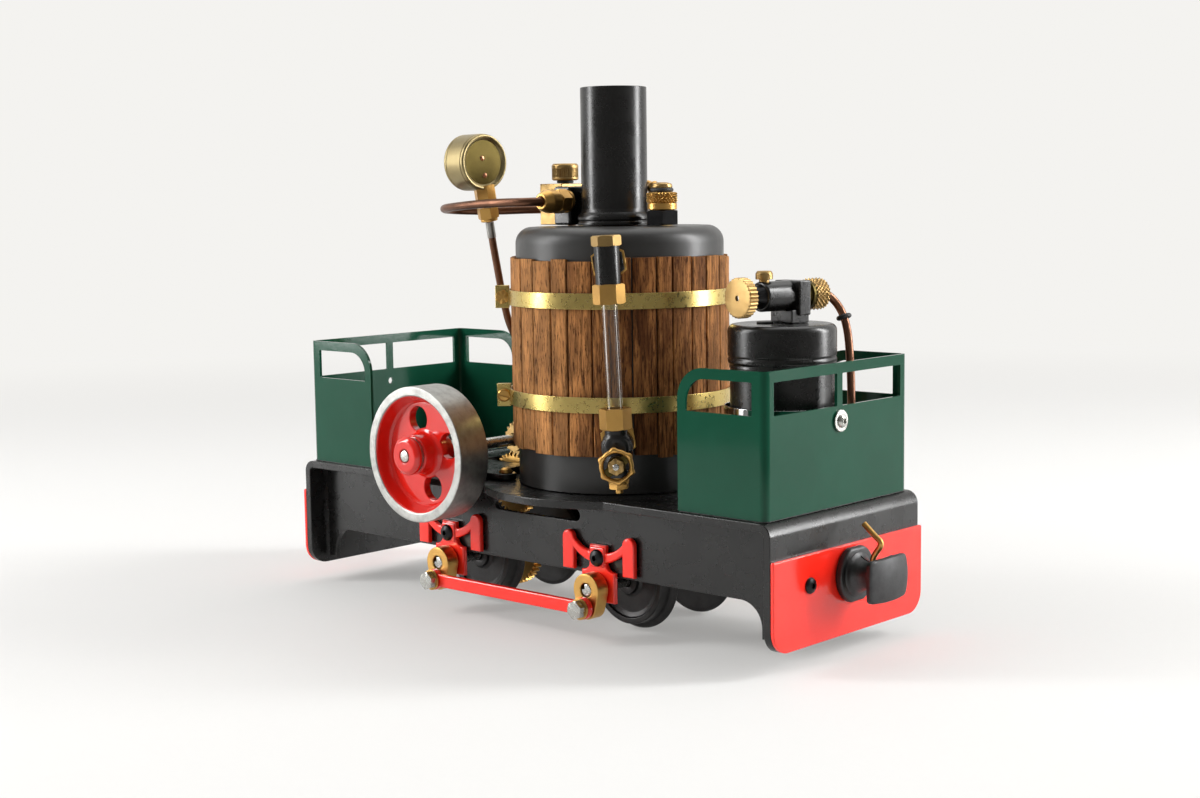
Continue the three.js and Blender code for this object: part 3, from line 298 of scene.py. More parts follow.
def block(low, high, edge=0.25):
    """A box with rounded edges."""
    solid = bmesh.new()
    bmesh.ops.create_cube(solid, size=1)
    size = [high[k] - low[k] for k in range(3)]
    middle = [(high[k] + low[k]) / 2 for k in range(3)]
    solid.transform(Matrix.Translation(middle) @ Matrix.Diagonal((*size, 1)))
    if edge:
        bmesh.ops.bevel(solid, geom=solid.edges[:], offset=edge, segments=3, profile=0.5, affect="EDGES")
    return solid


def smooth_route(points, steps):
    """Centripetal Catmull-Rom points through the given ones, as the CAD's pipes follow."""
    path = [Vector(p) for p in points]
    path = [path[0] * 2 - path[1], *path, path[-1] * 2 - path[-2]]
    made = []
    for a, b, c, d in zip(path, path[1:], path[2:], path[3:]):
        t1 = (b - a).length ** 0.5
        t2 = t1 + (c - b).length ** 0.5
        t3 = t2 + (d - c).length ** 0.5
        for i in range(steps):
            t = t1 + (t2 - t1) * i / steps
            p = a * ((t1 - t) / t1) + b * (t / t1)
            q = b * ((t2 - t) / (t2 - t1)) + c * ((t - t1) / (t2 - t1))
            r = c * ((t3 - t) / (t3 - t2)) + d * ((t - t2) / (t3 - t2))
            low = p * ((t2 - t) / t2) + q * (t / t2)
            high = q * ((t3 - t) / (t3 - t1)) + r * ((t - t1) / (t3 - t1))
            made.append(low * ((t2 - t) / (t2 - t1)) + high * ((t - t1) / (t2 - t1)))
    made.append(path[-2])
    return made


def tube(points, radius, sides=20, steps=8):
    """A round rod along a smooth line."""
    line = smooth_route(points, steps)
    tangents = [(b - a).normalized() for a, b in zip(line[:1] + line[:-1], line[1:] + line[-1:])]
    across = tangents[0].orthogonal().normalized()
    rows = [[line[0]]]
    for point, tangent in zip(line, tangents):
        across = (across - tangent * across.dot(tangent)).normalized()
        upward = tangent.cross(across)
        rows.append([point + across * x + upward * y for x, y, _ in circle_row(radius, 0, sides)])
    rows.append([line[-1]])
    return loft(rows)


def torus(radius, thickness, origin, direction, sides=48):
    section = arc(radius, 0, thickness, 0, 360, 12)
    return turned([*section[:-1], section[0]], origin, direction, sides, soft=0)


def half_turned(solids):
    """Puts what is drawn at the front on the rear, by half a turn about Z."""
    for solid in solids:
        solid.transform(Matrix.Rotation(math.pi, 4, "Z"))


def linked(name, data):
    """A new object in the scene."""
    made = bpy.data.objects.new(name, data)
    bpy.context.scene.collection.objects.link(made)
    return made


def to_object(solid):
    bmesh.ops.recalc_face_normals(solid, faces=solid.faces)
    mesh = bpy.data.meshes.new("scratch")
    solid.to_mesh(mesh)
    solid.free()
    return linked("scratch", mesh)


def combined(base, tools, operation="DIFFERENCE"):
    """The base cut by, joined with or limited to the tools."""
    body = to_object(base)
    others = [to_object(tool) for tool in tools]
    for other in others:
        modifier = body.modifiers.new("combine", "BOOLEAN")
        modifier.operation = operation
        modifier.solver = "EXACT"
        modifier.object = other
    graph = bpy.context.evaluated_depsgraph_get()
    mesh = bpy.data.meshes.new_from_object(body.evaluated_get(graph))
    solid = bmesh.new()
    solid.from_mesh(mesh)
    bmesh.ops.dissolve_degenerate(solid, edges=solid.edges, dist=0.0005)
    for item in (body, *others):
        old = item.data
        bpy.data.objects.remove(item)
        bpy.data.meshes.remove(old)
    bpy.data.meshes.remove(mesh)
    return solid


def socket_head(radius, height, socket, origin, direction):
    """A button-head screw with a hexagon socket."""
    rim = [(0, 0), (radius, 0), (radius, height * 0.3)]
    dome = [(radius * math.cos(a), height * (0.3 + 0.7 * math.sin(a))) for a in (0.5, 0.9, 1.2)]
    head = turned([*rim, *dome, (socket * 1.2, height), (0, height)], sides=40, soft=0.08)
    hollow = nut(socket * 1.7, height * 0.25, height + 1, chamfer=1.3)
    return aimed(combined(head, [hollow]), origin, direction)


def slotted_head(radius, height, slot, origin, direction, turn=0):
    profile = [(0, 0), (radius, 0), (radius, height * 0.7), (radius * 0.8, height), (0, height)]
    head = turned(profile, sides=40, soft=0.1)
    groove = block((-radius * 1.2, -slot / 2, height * 0.45), (radius * 1.2, slot / 2, height + 1), 0)
    return aimed(combined(head, [groove]), origin, direction, turn)


# ---------------------------------------------------------------- node helpers

def feed(tree, socket, value):
    """Links another node's output to the input, or sets the input to a plain value."""
    if isinstance(value, bpy.types.NodeSocket):
        tree.links.new(value, socket)
    else:
        socket.default_value = value


def node(tree, kind, **settings):
    """A shader node: a setting is a property, an input value, or a socket to link to that input."""
    made = tree.nodes.new("ShaderNode" + kind)
    for key, value in settings.items():
        name = key.replace("_", " ")
        if name not in made.inputs:
            setattr(made, key, value)
        else:
            feed(tree, made.inputs[name], value)
    return made


def place_of(tree, scale=(1, 1, 1)):
    """Object coordinates, in metres in the row frame at rest, stretched by the scale."""
    vector = node(tree, "TexCoord").outputs["Object"]
    return node(tree, "Mapping", Vector=vector, Scale=scale).outputs[0]


def vector_math(tree, operation, *values):
    """The vector, or for a length or dot product the number, that the operation gives."""
    made = node(tree, "VectorMath", operation=operation)
    for socket, value in zip(made.inputs, values):
        feed(tree, socket, value)
    return made.outputs["Value" if operation in ("LENGTH", "DOT_PRODUCT") else "Vector"]


def noise(tree, vector, scale, detail=4.0, roughness=0.55):
    made = node(tree, "TexNoise", Vector=vector, Scale=scale, Detail=detail, Roughness=roughness)
    return made.outputs["Fac"]


def spread(tree, value, low, high, to_low=0.0, to_high=1.0):
    """The value from low..high mapped to the new range, held at its ends."""
    made = node(tree, "MapRange", Value=value, From_Min=low, From_Max=high, To_Min=to_low, To_Max=to_high)
    return made.outputs[0]


def mixed(tree, share, first, second):
    """A colour between two colours, each a tuple or a socket."""
    made = node(tree, "Mix", data_type="RGBA")
    for index, value in ((0, share), (6, first), (7, second)):
        feed(tree, made.inputs[index], (*value, 1) if isinstance(value, tuple) else value)
    return made.outputs[2]


def blended(tree, share, below, above):
    """A shader between two shaders."""
    made = node(tree, "MixShader")
    for socket, value in zip(made.inputs, (share, below, above)):
        tree.links.new(value, socket)
    return made.outputs[0]


def bumped(tree, height, strength, distance, below=None):
    made = node(tree, "Bump", Height=height, Strength=strength, Distance=distance * MM)
    if below is not None:
        tree.links.new(below, made.inputs["Normal"])
    return made.outputs[0]


def around(tree, centre, mask):
    """Distance in metres from an axis through the centre, in mm; the mask drops the axis's coordinate."""
    x, y, z = centre
    start = (-x * MM, -(y + SIDE_SHIFT) * MM, -z * MM)
    offset = vector_math(tree, "ADD", node(tree, "TexCoord").outputs["Object"], start)
    return vector_math(tree, "LENGTH", vector_math(tree, "MULTIPLY", offset, mask))


def new_material(name, **sockets):
    """A material with a principled shader whose sockets hold these plain values."""
    made = bpy.data.materials.new(name)
    made.use_nodes = True
    shader = made.node_tree.nodes["Principled BSDF"]
    for key, value in sockets.items():
        value = (*value, 1) if isinstance(value, tuple) else value
        shader.inputs[key.replace("_", " ")].default_value = value
    return made, made.node_tree, shader


def attach(tree, shader, **sockets):
    for key, value in sockets.items():
        tree.links.new(value, shader.inputs[key.replace("_", " ")])


# ---------------------------------------------------------------- materials

def paint(name, light, dark, roughness, coat, grain, grain_depth, specular=0.5):
    """Sprayed paint: faint cloudiness, a fine skin texture and small dust specks."""
    made, tree, shader = new_material(
        name, Coat_Weight=coat, Coat_Roughness=0.06, Specular_IOR_Level=specular)
    place = place_of(tree)
    clouds = noise(tree, place, 45)
    skin = noise(tree, place, grain, 2.0)
    specks = spread(tree, noise(tree, place, 2600, 1.0), 0.78, 0.84)
    colour = mixed(tree, spread(tree, clouds, 0.35, 0.65), dark, light)
    dust = tuple(min(1.0, c * 1.6 + 0.02) for c in light)
    dusty = mixed(tree, spread(tree, specks, 0, 1, 0, 0.3), colour, dust)
    shine = spread(tree, noise(tree, place, 160), 0.3, 0.7, roughness * 0.85, roughness * 1.2)
    normal = bumped(tree, skin, 0.35, grain_depth)
    attach(tree, shader, Base_Color=dusty, Roughness=shine, Normal=normal)
    return made


def metal(name, clean, stained, roughness, stains=0.5, scratches=0.3, stain_size=220):
    """Handled metal: stains in patches, uneven polish and fine scratches."""
    made, tree, shader = new_material(name, Metallic=1.0)
    place = place_of(tree)
    patch = spread(tree, noise(tree, place, stain_size, 6.0, 0.65), 0.45, 0.75, 0, stains)
    fine = noise(tree, place_of(tree, (1, 1, 0.08)), 3500, 3.0)
    colour = mixed(tree, patch, clean, stained)
    shine = spread(tree, noise(tree, place, 600, 5.0), 0.3, 0.7, roughness * 0.82, roughness * 1.2)
    normal = bumped(tree, fine, scratches, 0.02)
    attach(tree, shader, Base_Color=colour, Roughness=shine, Normal=normal)
    return made


def lathed_metal(name, clean, stained, roughness, centre, mask):
    """Metal with the fine rings that a turning tool leaves around an axis."""
    made, tree, shader = new_material(name, Metallic=1.0)
    place = place_of(tree)
    across = around(tree, centre, mask)
    rings = node(tree, "TexNoise", noise_dimensions="1D", W=across, Scale=9000, Detail=3.0)
    patch = spread(tree, noise(tree, place, 300, 6.0, 0.7), 0.42, 0.72)
    colour = mixed(tree, patch, clean, stained)
    shine = spread(tree, rings.outputs["Fac"], 0.3, 0.7, roughness * 0.75, roughness * 1.3)
    normal = bumped(tree, rings.outputs["Fac"], 0.5, 0.03)
    attach(tree, shader, Base_Color=colour, Roughness=shine, Normal=normal)
    return made


def stave_wood():
    """Brown stained boards: grain along the board, dark pores and edges, and painted light and shade from a
    per-board value that is partly random: boards turned away from the shaded heading are painted a lit gold,
    and those facing it are painted in shade.
    """
    made, tree, shader = new_material("stave_wood", Specular_IOR_Level=0.05)
    # The per-board value from make_staves: part random, part painted light and shade by the board's heading.
    tone_and_shade = node(tree, "Attribute", attribute_name="tone_and_shade").outputs["Fac"]
    shift = node(tree, "CombineXYZ", X=tone_and_shade, Y=tone_and_shade, Z=tone_and_shade).outputs[0]
    board = vector_math(tree, "ADD", node(tree, "TexCoord").outputs["Object"], shift)

    def along(scale, detail, stretch):
        mapped = node(tree, "Mapping", Vector=board, Scale=(1, 1, stretch)).outputs[0]
        return noise(tree, mapped, scale, detail, 0.65)

    broad = along(150, 5.0, 0.22)
    streak = along(1250, 6.0, 0.075)
    pores = spread(tree, along(2500, 4.0, 0.1), 0.53, 0.62)
    warm = mixed(tree, spread(tree, broad, 0.40, 0.60), (0.10, 0.033, 0.0105), (0.44, 0.185, 0.058))
    grained = mixed(tree, spread(tree, streak, 0.44, 0.60, 0.0, 0.9), warm, (0.050, 0.016, 0.0055))
    # Painted light: boards turned away from the shaded heading are lightened towards gold.
    painted_light_gold = mixed(tree, spread(tree, tone_and_shade, 0.2, 1.0, 0.0, 0.32), grained, (0.60, 0.30, 0.115))
    # Painted shade: boards facing the shaded heading are darkened.
    painted_shade_dark = mixed(tree, spread(tree, tone_and_shade, 0.0, 0.55, 0.55, 0.0), painted_light_gold, (0.045, 0.015, 0.006))
    porous = mixed(tree, spread(tree, pores, 0, 1, 0, 0.85), painted_shade_dark, (0.024, 0.0085, 0.004))
    smudge = spread(tree, noise(tree, place_of(tree), 38, 3.0), 0.52, 0.72, 0, 0.45)
    colour = mixed(tree, smudge, porous, (0.045, 0.018, 0.0085))
    shine = spread(tree, streak, 0.3, 0.7, 0.5, 0.72)
    coarse = bumped(tree, streak, 0.5, 0.25)
    normal = bumped(tree, pores, 0.35, -0.12, coarse)
    attach(tree, shader, Base_Color=colour, Roughness=shine, Normal=normal)
    return made


def clear_glass():
    made, tree, shader = new_material("clear_glass", Transmission_Weight=1.0, IOR=1.47, Roughness=0.0)
    place = place_of(tree)
    tint = mixed(tree, noise(tree, place, 120), (0.97, 0.985, 0.975), (1.0, 1.0, 1.0))
    attach(tree, shader, Base_Color=tint)
    return made


def plain_skin(name, light, dark, roughness):
    """Rubber, printed card and other matt skins."""
    made, tree, shader = new_material(name)
    place = place_of(tree)
    colour = mixed(tree, noise(tree, place, 300), dark, light)
    shine = spread(tree, noise(tree, place, 700), 0.3, 0.7, roughness * 0.85, min(1.0, roughness * 1.15))
    normal = bumped(tree, noise(tree, place, 900, 2.0), 0.3, 0.02)
    attach(tree, shader, Base_Color=colour, Roughness=shine, Normal=normal)
    return made


XZ_MASK, YZ_MASK = (1, 0, 1), (0, 1, 1)
satin_black = paint("satin_black", (0.0060, 0.0057, 0.0054), (0.0042, 0.0040, 0.0039), 0.27, 0.0, 2600, 0.03)
gloss_red = paint("gloss_red", (0.86, 0.024, 0.012), (0.80, 0.018, 0.009), 0.16, 0.3, 500, 0.02)
# Painted shade: the flywheel's red is the same paint as gloss_red, darkened to stand in for the shade that
# falls on it.
shaded_wheel_red = paint("shaded_wheel_red", (0.60, 0.0115, 0.0058), (0.54, 0.0095, 0.0048), 0.13, 0.4, 500, 0.03)
# The boiler's black: a rougher finish than satin_black, and a lighter base that paints in the light on the
# boiler's shoulder.
lit_boiler_black = paint("lit_boiler_black", (0.022, 0.0215, 0.0205), (0.017, 0.0166, 0.016), 0.38, 0.0, 2400, 0.03)
gloss_green = paint(
    "gloss_green", (0.0060, 0.057, 0.0315), (0.0049, 0.050, 0.027), 0.1, 0.06, 420, 0.025, 0.2)
band_brass = metal("band_brass", (0.58, 0.44, 0.15), (0.50, 0.365, 0.11), 0.29, 0.5, 0.02, 35)
turned_brass = metal("turned_brass", (0.62, 0.36, 0.105), (0.40, 0.215, 0.065), 0.36, 0.4, 0.2, 110)
bright_brass = metal("bright_brass", (0.41, 0.27, 0.108), (0.30, 0.185, 0.066), 0.42, 0.5, 0.2, 120)
satin_brass = metal("satin_brass", (0.30, 0.24, 0.12), (0.24, 0.185, 0.085), 0.36, 0.5, 0.15, 60)
olive_brass = metal("olive_brass", (0.085, 0.064, 0.019), (0.060, 0.043, 0.014), 0.42, 0.5, 0.2, 70)
brown_copper = metal("brown_copper", (0.17, 0.082, 0.050), (0.085, 0.042, 0.027), 0.4, 0.8, 0.2, 120)
worn_copper = metal("worn_copper", (0.25, 0.125, 0.078), (0.13, 0.066, 0.043), 0.4, 0.7, 0.2, 120)
red_copper = metal("red_copper", (0.55, 0.25, 0.14), (0.25, 0.12, 0.08), 0.3, 0.6)
bright_steel = metal("bright_steel", (0.52, 0.52, 0.49), (0.30, 0.285, 0.26), 0.26, 0.6)
dull_steel = metal("dull_steel", (0.36, 0.35, 0.33), (0.16, 0.14, 0.12), 0.36, 0.8)
chrome = metal("chrome", (0.78, 0.79, 0.80), (0.58, 0.60, 0.61), 0.08, 0.3, 0.08)
black_oxide = metal("black_oxide", (0.030, 0.030, 0.031), (0.016, 0.016, 0.017), 0.34, 0.5)
wheel_iron = metal("wheel_iron", (0.045, 0.044, 0.044), (0.022, 0.021, 0.021), 0.36, 0.6, 0.4)
rim_steel = lathed_metal("rim_steel", (0.42, 0.42, 0.40), (0.27, 0.27, 0.255), 0.4, SHAFT, XZ_MASK)
buffer_black = lathed_metal("buffer_black", (0.068, 0.068, 0.069), (0.046, 0.046, 0.047), 0.42,
                            (0, 0, COUPLER_Z), YZ_MASK)
wood = stave_wood()
glass = clear_glass()
black_rubber = plain_skin("black_rubber", (0.022, 0.021, 0.021), (0.014, 0.014, 0.014), 0.6)
dial_card = plain_skin("dial_card", (0.80, 0.80, 0.77), (0.75, 0.75, 0.71), 0.5)
dial_ink = plain_skin("dial_ink", (0.02, 0.02, 0.02), (0.012, 0.012, 0.012), 0.5)


# ---------------------------------------------------------------- pieces

def leaning(centre, axis, degrees):
    """A turn about an axis through the centre, in mm."""
    turn = Matrix.Rotation(math.radians(degrees), 4, axis)
    return Matrix.Translation(centre) @ turn @ Matrix.Translation(-centre)


def piece(name, parts, material, body="chassis", replaces=None, bevel=0.0, sharp=36, lean=None):
    """One shown object made of closed bmeshes; replaces names the CAD node that it stands for."""
    whole = bmesh.new()
    for part in parts:
        bmesh.ops.recalc_face_normals(part, faces=part.faces)
        scratch = bpy.data.meshes.new("scratch")
        part.to_mesh(scratch)
        part.free()
        whole.from_mesh(scratch)
        bpy.data.meshes.remove(scratch)
    to_row_frame = Matrix.Scale(MM, 4) @ Matrix.Translation((0, SIDE_SHIFT, 0))
    whole.transform(to_row_frame @ (lean or Matrix.Identity(4)))
    mesh = bpy.data.meshes.new(name)
    whole.to_mesh(mesh)
    whole.free()
    mesh.shade_smooth()
    mesh.set_sharp_from_angle(angle=math.radians(sharp))
    mesh.materials.append(material)
    made = linked(name, mesh)
    if bevel:
        modifier = made.modifiers.new("edges", "BEVEL")
        modifier.width = bevel * MM
        modifier.segments = 2
        modifier.limit_method = "ANGLE"
        modifier.angle_limit = math.radians(40)
    weighted = made.modifiers.new("shading", "WEIGHTED_NORMAL")
    weighted.keep_sharp = True
    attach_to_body(made, body)
    if replaces:
        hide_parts(replaces)
    return made


# ---------------------------------------------------------------- footplate and frames

PIN_X = 117
GAS_HOLE = (95.4, 20)
BUNKER_SCREW_Z = 72.6


def make_footplate():
    end, turn = DECK_HALF_LENGTH, 4.0
    inner = turn - DECK_SHEET
    under = DECK_TOP - DECK_SHEET
    right = [(end - DECK_SHEET, SKIRT_Z), (end, SKIRT_Z)] + arc(end - turn, DECK_TOP - turn, turn, 0, 90, 10)
    left = [(-x, z) for x, z in reversed(right)]
    under_side = [(-x, z) for x, z in arc(end - turn, DECK_TOP - turn, inner, 0, 90, 8)]
    under_side += arc(end - turn, DECK_TOP - turn, inner, 90, 0, 8)
    sheet = prism(right + left + under_side, -DECK_HALF_WIDTH, DECK_HALF_WIDTH, "xz")
    outline = rounded_rectangle(
        -DECK_HALF_WIDTH, SKIRT_Z, DECK_HALF_WIDTH, DECK_TOP + 2, [CORNER_R, CORNER_R, 0.5, 0.5], 12)
    sheet = combined(sheet, [prism(outline, -end - 2, end + 2, "yz")], "INTERSECT")
    bulge = prism(circle(BOILER_X, 0, 48, 128), under, DECK_TOP)
    sheet = combined(sheet, [bulge], "UNION")
    holes = [
        prism(circle(BOILER_X, 0, 14, 64), under - 1, DECK_TOP + 1),
        prism(rounded_rectangle(-44.5, -10.8, -21.2, 0.8, [1] * 4), under - 1, DECK_TOP + 1),
        prism(circle(*GAS_HOLE, 2, 24), under - 1, DECK_TOP + 1),
    ]
    piece("deck", [combined(sheet, holes)], satin_black, replaces="footplate", bevel=0.3)


def make_side_frame(side, label):
    end, leg, low, radius, top = 103.5, 99.5, 20.5, 8.0, 43.2
    outline = [(-end, top), (-end, 9.5), (-leg, 9.5)] + arc(-leg + radius, low - radius, radius, 180, 90, 10)
    outline += arc(leg - radius, low - radius, radius, 90, 0, 10) + [(leg, 9.5), (end, 9.5), (end, top)]
    slot = rounded_rectangle(-14, 36.9, 25.4, 40.8, [1.9] * 4)
    y0, y1 = sorted((side * (FRAME_Y - FRAME_SHEET), side * FRAME_Y))
    name = f"side_frame_{label}"
    piece(f"{name}_plate", [plate(outline, y0, y1, "xz", [slot], 0.25)], satin_black, replaces=name)
    nuts = []
    for x in (-35.3, 35.3):
        nuts.append(nut(4, -1.6, 0, (x, side * 30.7, 26.4), (0, side, 0)))
    piece(f"{name}_nuts", nuts, black_oxide)


def guard_outline():
    half = [(0, 12.2), (7.1, 12.2), (7.1, 22.1)]
    half += bend((7.1, 22.1), (3.8, 22.2), (3.4, 25.0))
    half += bend((3.4, 25.0), (7.4, 25.8), (10.6, 28.7))
    half += [(10.6, 21.6), (15.5, 21.6)]
    half += arc(13.05, 31.9, 2.45, 0, 180, 12)
    half += bend((10.6, 31.9), (7.4, 28.8), (3.4, 28.3))
    half += [(3.4, 30.7), (0, 30.7)]
    return half + [(-x, z) for x, z in reversed(half[1:-1])]


def make_guards(side, label):
    for end, place in ((1, "front"), (-1, "rear")):
        outline = [(x + end * AXLE_X, z) for x, z in guard_outline()]
        low, high = sorted((side * (FRAME_Y + GAP), side * (FRAME_Y + GAP + 2)))
        hole = circle(end * AXLE_X, AXLE_Z, 2.4, 24)
        parts = [plate(outline, low, high, "xz", [hole], 0.55)]
        raised = rounded_rectangle(-3.1, 23.6, 3.1, 30.1, [0.5] * 4, 3)
        raised = [(x + end * AXLE_X, z) for x, z in raised]
        low, high = sorted((side * (FRAME_Y + 1), side * (FRAME_Y + GAP + 2.5)))
        parts.append(plate(raised, low, high, "xz", [], 0.45))
        name = f"axle_guard_{label}_{place}"
        piece(f"{name}_casting", parts, gloss_red, replaces=name)
        origin = (end * (AXLE_X + 0.3), side * (FRAME_Y + GAP + 2.4), 26.6)
        piece(f"{name}_screw", [socket_head(2.8, 1.5, 1.0, origin, (0, side, 0))], black_oxide)


def make_buffer_end(end, place):
    inner = DECK_HALF_LENGTH + 0.1
    outline = rounded_rectangle(
        -DECK_HALF_WIDTH, SKIRT_Z, DECK_HALF_WIDTH, 35, [CORNER_R, CORNER_R, 0.6, 0.6], 12)
    sheet = plate(outline, inner, inner + 1.3, "yz", [], 0.3)
    screws = [
        socket_head(2.5, 1.3, 0.9, (inner + 1.3, y, 25.4), X_AXIS) for y in (-21.6, 21.6)]
    start = DECK_HALF_LENGTH + 1.5
    base_outline = [
        (y, COUPLER_Z + z) for y, z in arc(0, 0, 9, -69, 69, 24) + arc(0, 0, 9, 111, 249, 24)]
    base = plate(base_outline, start, start + 2.5, "yz", [], 0.7)
    back = COUPLER_APEX_X - 4.6
    neck = turned([
        (0, start + 1), (7.2, start + 1), (7.0, start + 2.6), (5.6, start + 3.4), (4.9, start + 4.6),
        (4.4, start + 6), (4.2, start + 8), (4.5, back + 0.6), (0, back + 0.6)],
        (0, 0, COUPLER_Z), X_AXIS, 48, 0.5)
    saw_cut = block((start + 3.2, -0.35, COUPLER_Z + 2.8), (PIN_X, 0.35, COUPLER_Z + 9), 0)
    neck = combined(neck, [pin_hole(), saw_cut])
    head = combined(buffing_head(back), [pin_hole()])
    pin = coupler_pin()
    if end < 0:
        half_turned([sheet, *screws, base, neck, head, pin])
    piece(f"{place}_buffer_sheet", [sheet], gloss_red, replaces=f"{place}_buffer_plate")
    piece(f"{place}_buffer_screws", screws, black_oxide)
    piece(f"{place}_coupler_turning", [base, neck], buffer_black, replaces=f"{place}_coupler")
    piece(f"{place}_buffing_head", [head], buffer_black)
    body = f"{place}_coupler_pin"
    piece(f"{body}_wire", [pin], turned_brass, body, body)


def buffing_head(back):
    """A barrel-sided head whose face is part of a sphere and whose back tapers to the neck."""
    crown = 38.8
    corners = rounded_rectangle(-10.3, -6.8, 10.3, 6.8, [1.4] * 4, 5)
    outline = []
    for (y0, z0), (y1, z1) in zip(corners, corners[1:] + corners[:1]):
        steps = max(1, round(math.hypot(y1 - y0, z1 - z0) / 1.2))
        for i in range(steps):
            y, z = y0 + (y1 - y0) * i / steps, z0 + (z1 - z0) * i / steps
            outline.append((y * (1.0 - 0.07 * (z / 6.8) ** 2), z * (1.0 - 0.06 * (y / 10.3) ** 2)))

    def face_row(share):
        row = []
        for y, z in outline:
            y, z = y * share, z * share
            x = COUPLER_APEX_X - crown + math.sqrt(crown ** 2 - y * y - z * z)
            row.append((x, y, COUPLER_Z + z))
        return row

    rows = [[(COUPLER_APEX_X, 0, COUPLER_Z)]] + [face_row(i / 10) for i in range(1, 10)]
    rim = face_row(0.965)
    edge = [(x - 0.35, y / 0.965, COUPLER_Z + (z - COUPLER_Z) / 0.965) for x, y, z in rim]
    rear = [(x - 1.1, y, z) for x, y, z in edge]
    inset = [(x - 1.4, y * 0.95, COUPLER_Z + (z - COUPLER_Z) * 0.94) for x, y, z in edge]
    waist = [(back, y * 0.52, COUPLER_Z + (z - COUPLER_Z) * 0.72) for _, y, z in edge]
    return loft([*rows, rim, edge, rear, inset, waist, [(back, 0, COUPLER_Z)]])


def pin_hole():
    return disc(1.2, 10, 40, (PIN_X, 0, 0), Z_AXIS, 24, 0)


def coupler_pin():
    points = [
        (PIN_X, 0, 18), (PIN_X, 0, 25), (PIN_X, 0, 30.6), (117.5, 0, 32.1), (118.6, 0, 33.7),
        (119.6, 0, 35.1), (119.9, 0, 36.1), (119.4, 0, 37.0), (117.6, 0, 38.4), (115.8, 0, 39.9),
        (113.7, 0, 41.6)]
    return tube(points, 0.9, 16, 5)


make_footplate()
for side, label in ((-1, "right"), (1, "left")):
    make_side_frame(side, label)
    make_guards(side, label)
for end, place in ((1, "front"), (-1, "rear")):
    make_buffer_end(end, place)


# ---------------------------------------------------------------- bunkers

def bunker_sheet(end):
    low, corner, sheet, bend_r = DECK_TOP + GAP, 2.4, 1.0, 10.0
    near, far, wide, top = BUNKER_NEAR_X, BUNKER_FAR_X, BUNKER_HALF_WIDTH, BUNKER_TOP
    shell = prism(rounded_rectangle(near, -wide, far, wide, [0.05, corner, corner, 0.05]), low, top)
    inside = rounded_rectangle(
        near - 5, -wide + sheet, far - sheet, wide - sheet, [0.05, corner - sheet, corner - sheet, 0.05])
    past = wide + 2
    top_corner = [(near - 1, top - bend_r)] + arc(near + bend_r, top - bend_r, bend_r, 180, 90, 16)
    top_corner += [(near + bend_r, top + 1), (near - 1, top + 1)]
    side_window = rounded_rectangle(74.4, WINDOW_LOW_Z, 99.8, WINDOW_TOP_Z, [0.3, 0.3, 0.3, 7.4], 10)
    cutters = [
        prism(inside, low + sheet, top + 5),
        prism(top_corner, -past, past, "xz"),
        prism(side_window, -past, past, "xz"),
        disc(1.25, far - 5, far + 5, (0, 0, BUNKER_SCREW_Z), X_AXIS, 24, 0),
    ]
    for y0, y1 in ((-33.4, -1.4), (1.4, 33.4)):
        window = rounded_rectangle(y0, WINDOW_LOW_Z, y1, WINDOW_TOP_Z, [0.3] * 4, 3)
        cutters.append(prism(window, far - 5, far + 5, "yz"))
    if end > 0:
        cutters.append(disc(2, low - 2, low + 3, (*GAS_HOLE, 0), Z_AXIS, 24, 0))
    return combined(shell, cutters)


def make_bunker(end, place):
    body = bunker_sheet(end)
    wide = BUNKER_HALF_WIDTH + 0.15
    outline = rounded_rectangle(
        BUNKER_NEAR_X + 0.5, -wide, BUNKER_FAR_X + 0.15, wide, [0.3, 2.2, 2.2, 0.3])
    holes = [circle(*GAS_HOLE, 2.2, 20)] if end > 0 else []
    gasket = plate(outline, DECK_TOP + 0.02, DECK_TOP + GAP - 0.02, "xy", holes, 0.1)
    if end < 0:
        half_turned([body, gasket])
    piece(f"{place}_bunker_sheet", [body], gloss_green, replaces=f"{place}_bunker", bevel=0.2)
    piece(f"{place}_bunker_gasket", [gasket], black_rubber)


make_bunker(1, "front")
make_bunker(-1, "rear")
bunker_screw = socket_head(2.1, 1.2, 0.95, (BUNKER_FAR_X + 0.7, 0, BUNKER_SCREW_Z), X_AXIS)
piece("bunker_screw", [bunker_screw], bright_steel)
bunker_washer = ring(0.8, 3.4, 0.05, 0.75, (BUNKER_FAR_X, 0, BUNKER_SCREW_Z), X_AXIS, 48, 0.2)
piece("bunker_washer", [bunker_washer], bright_steel)


# ---------------------------------------------------------------- boiler

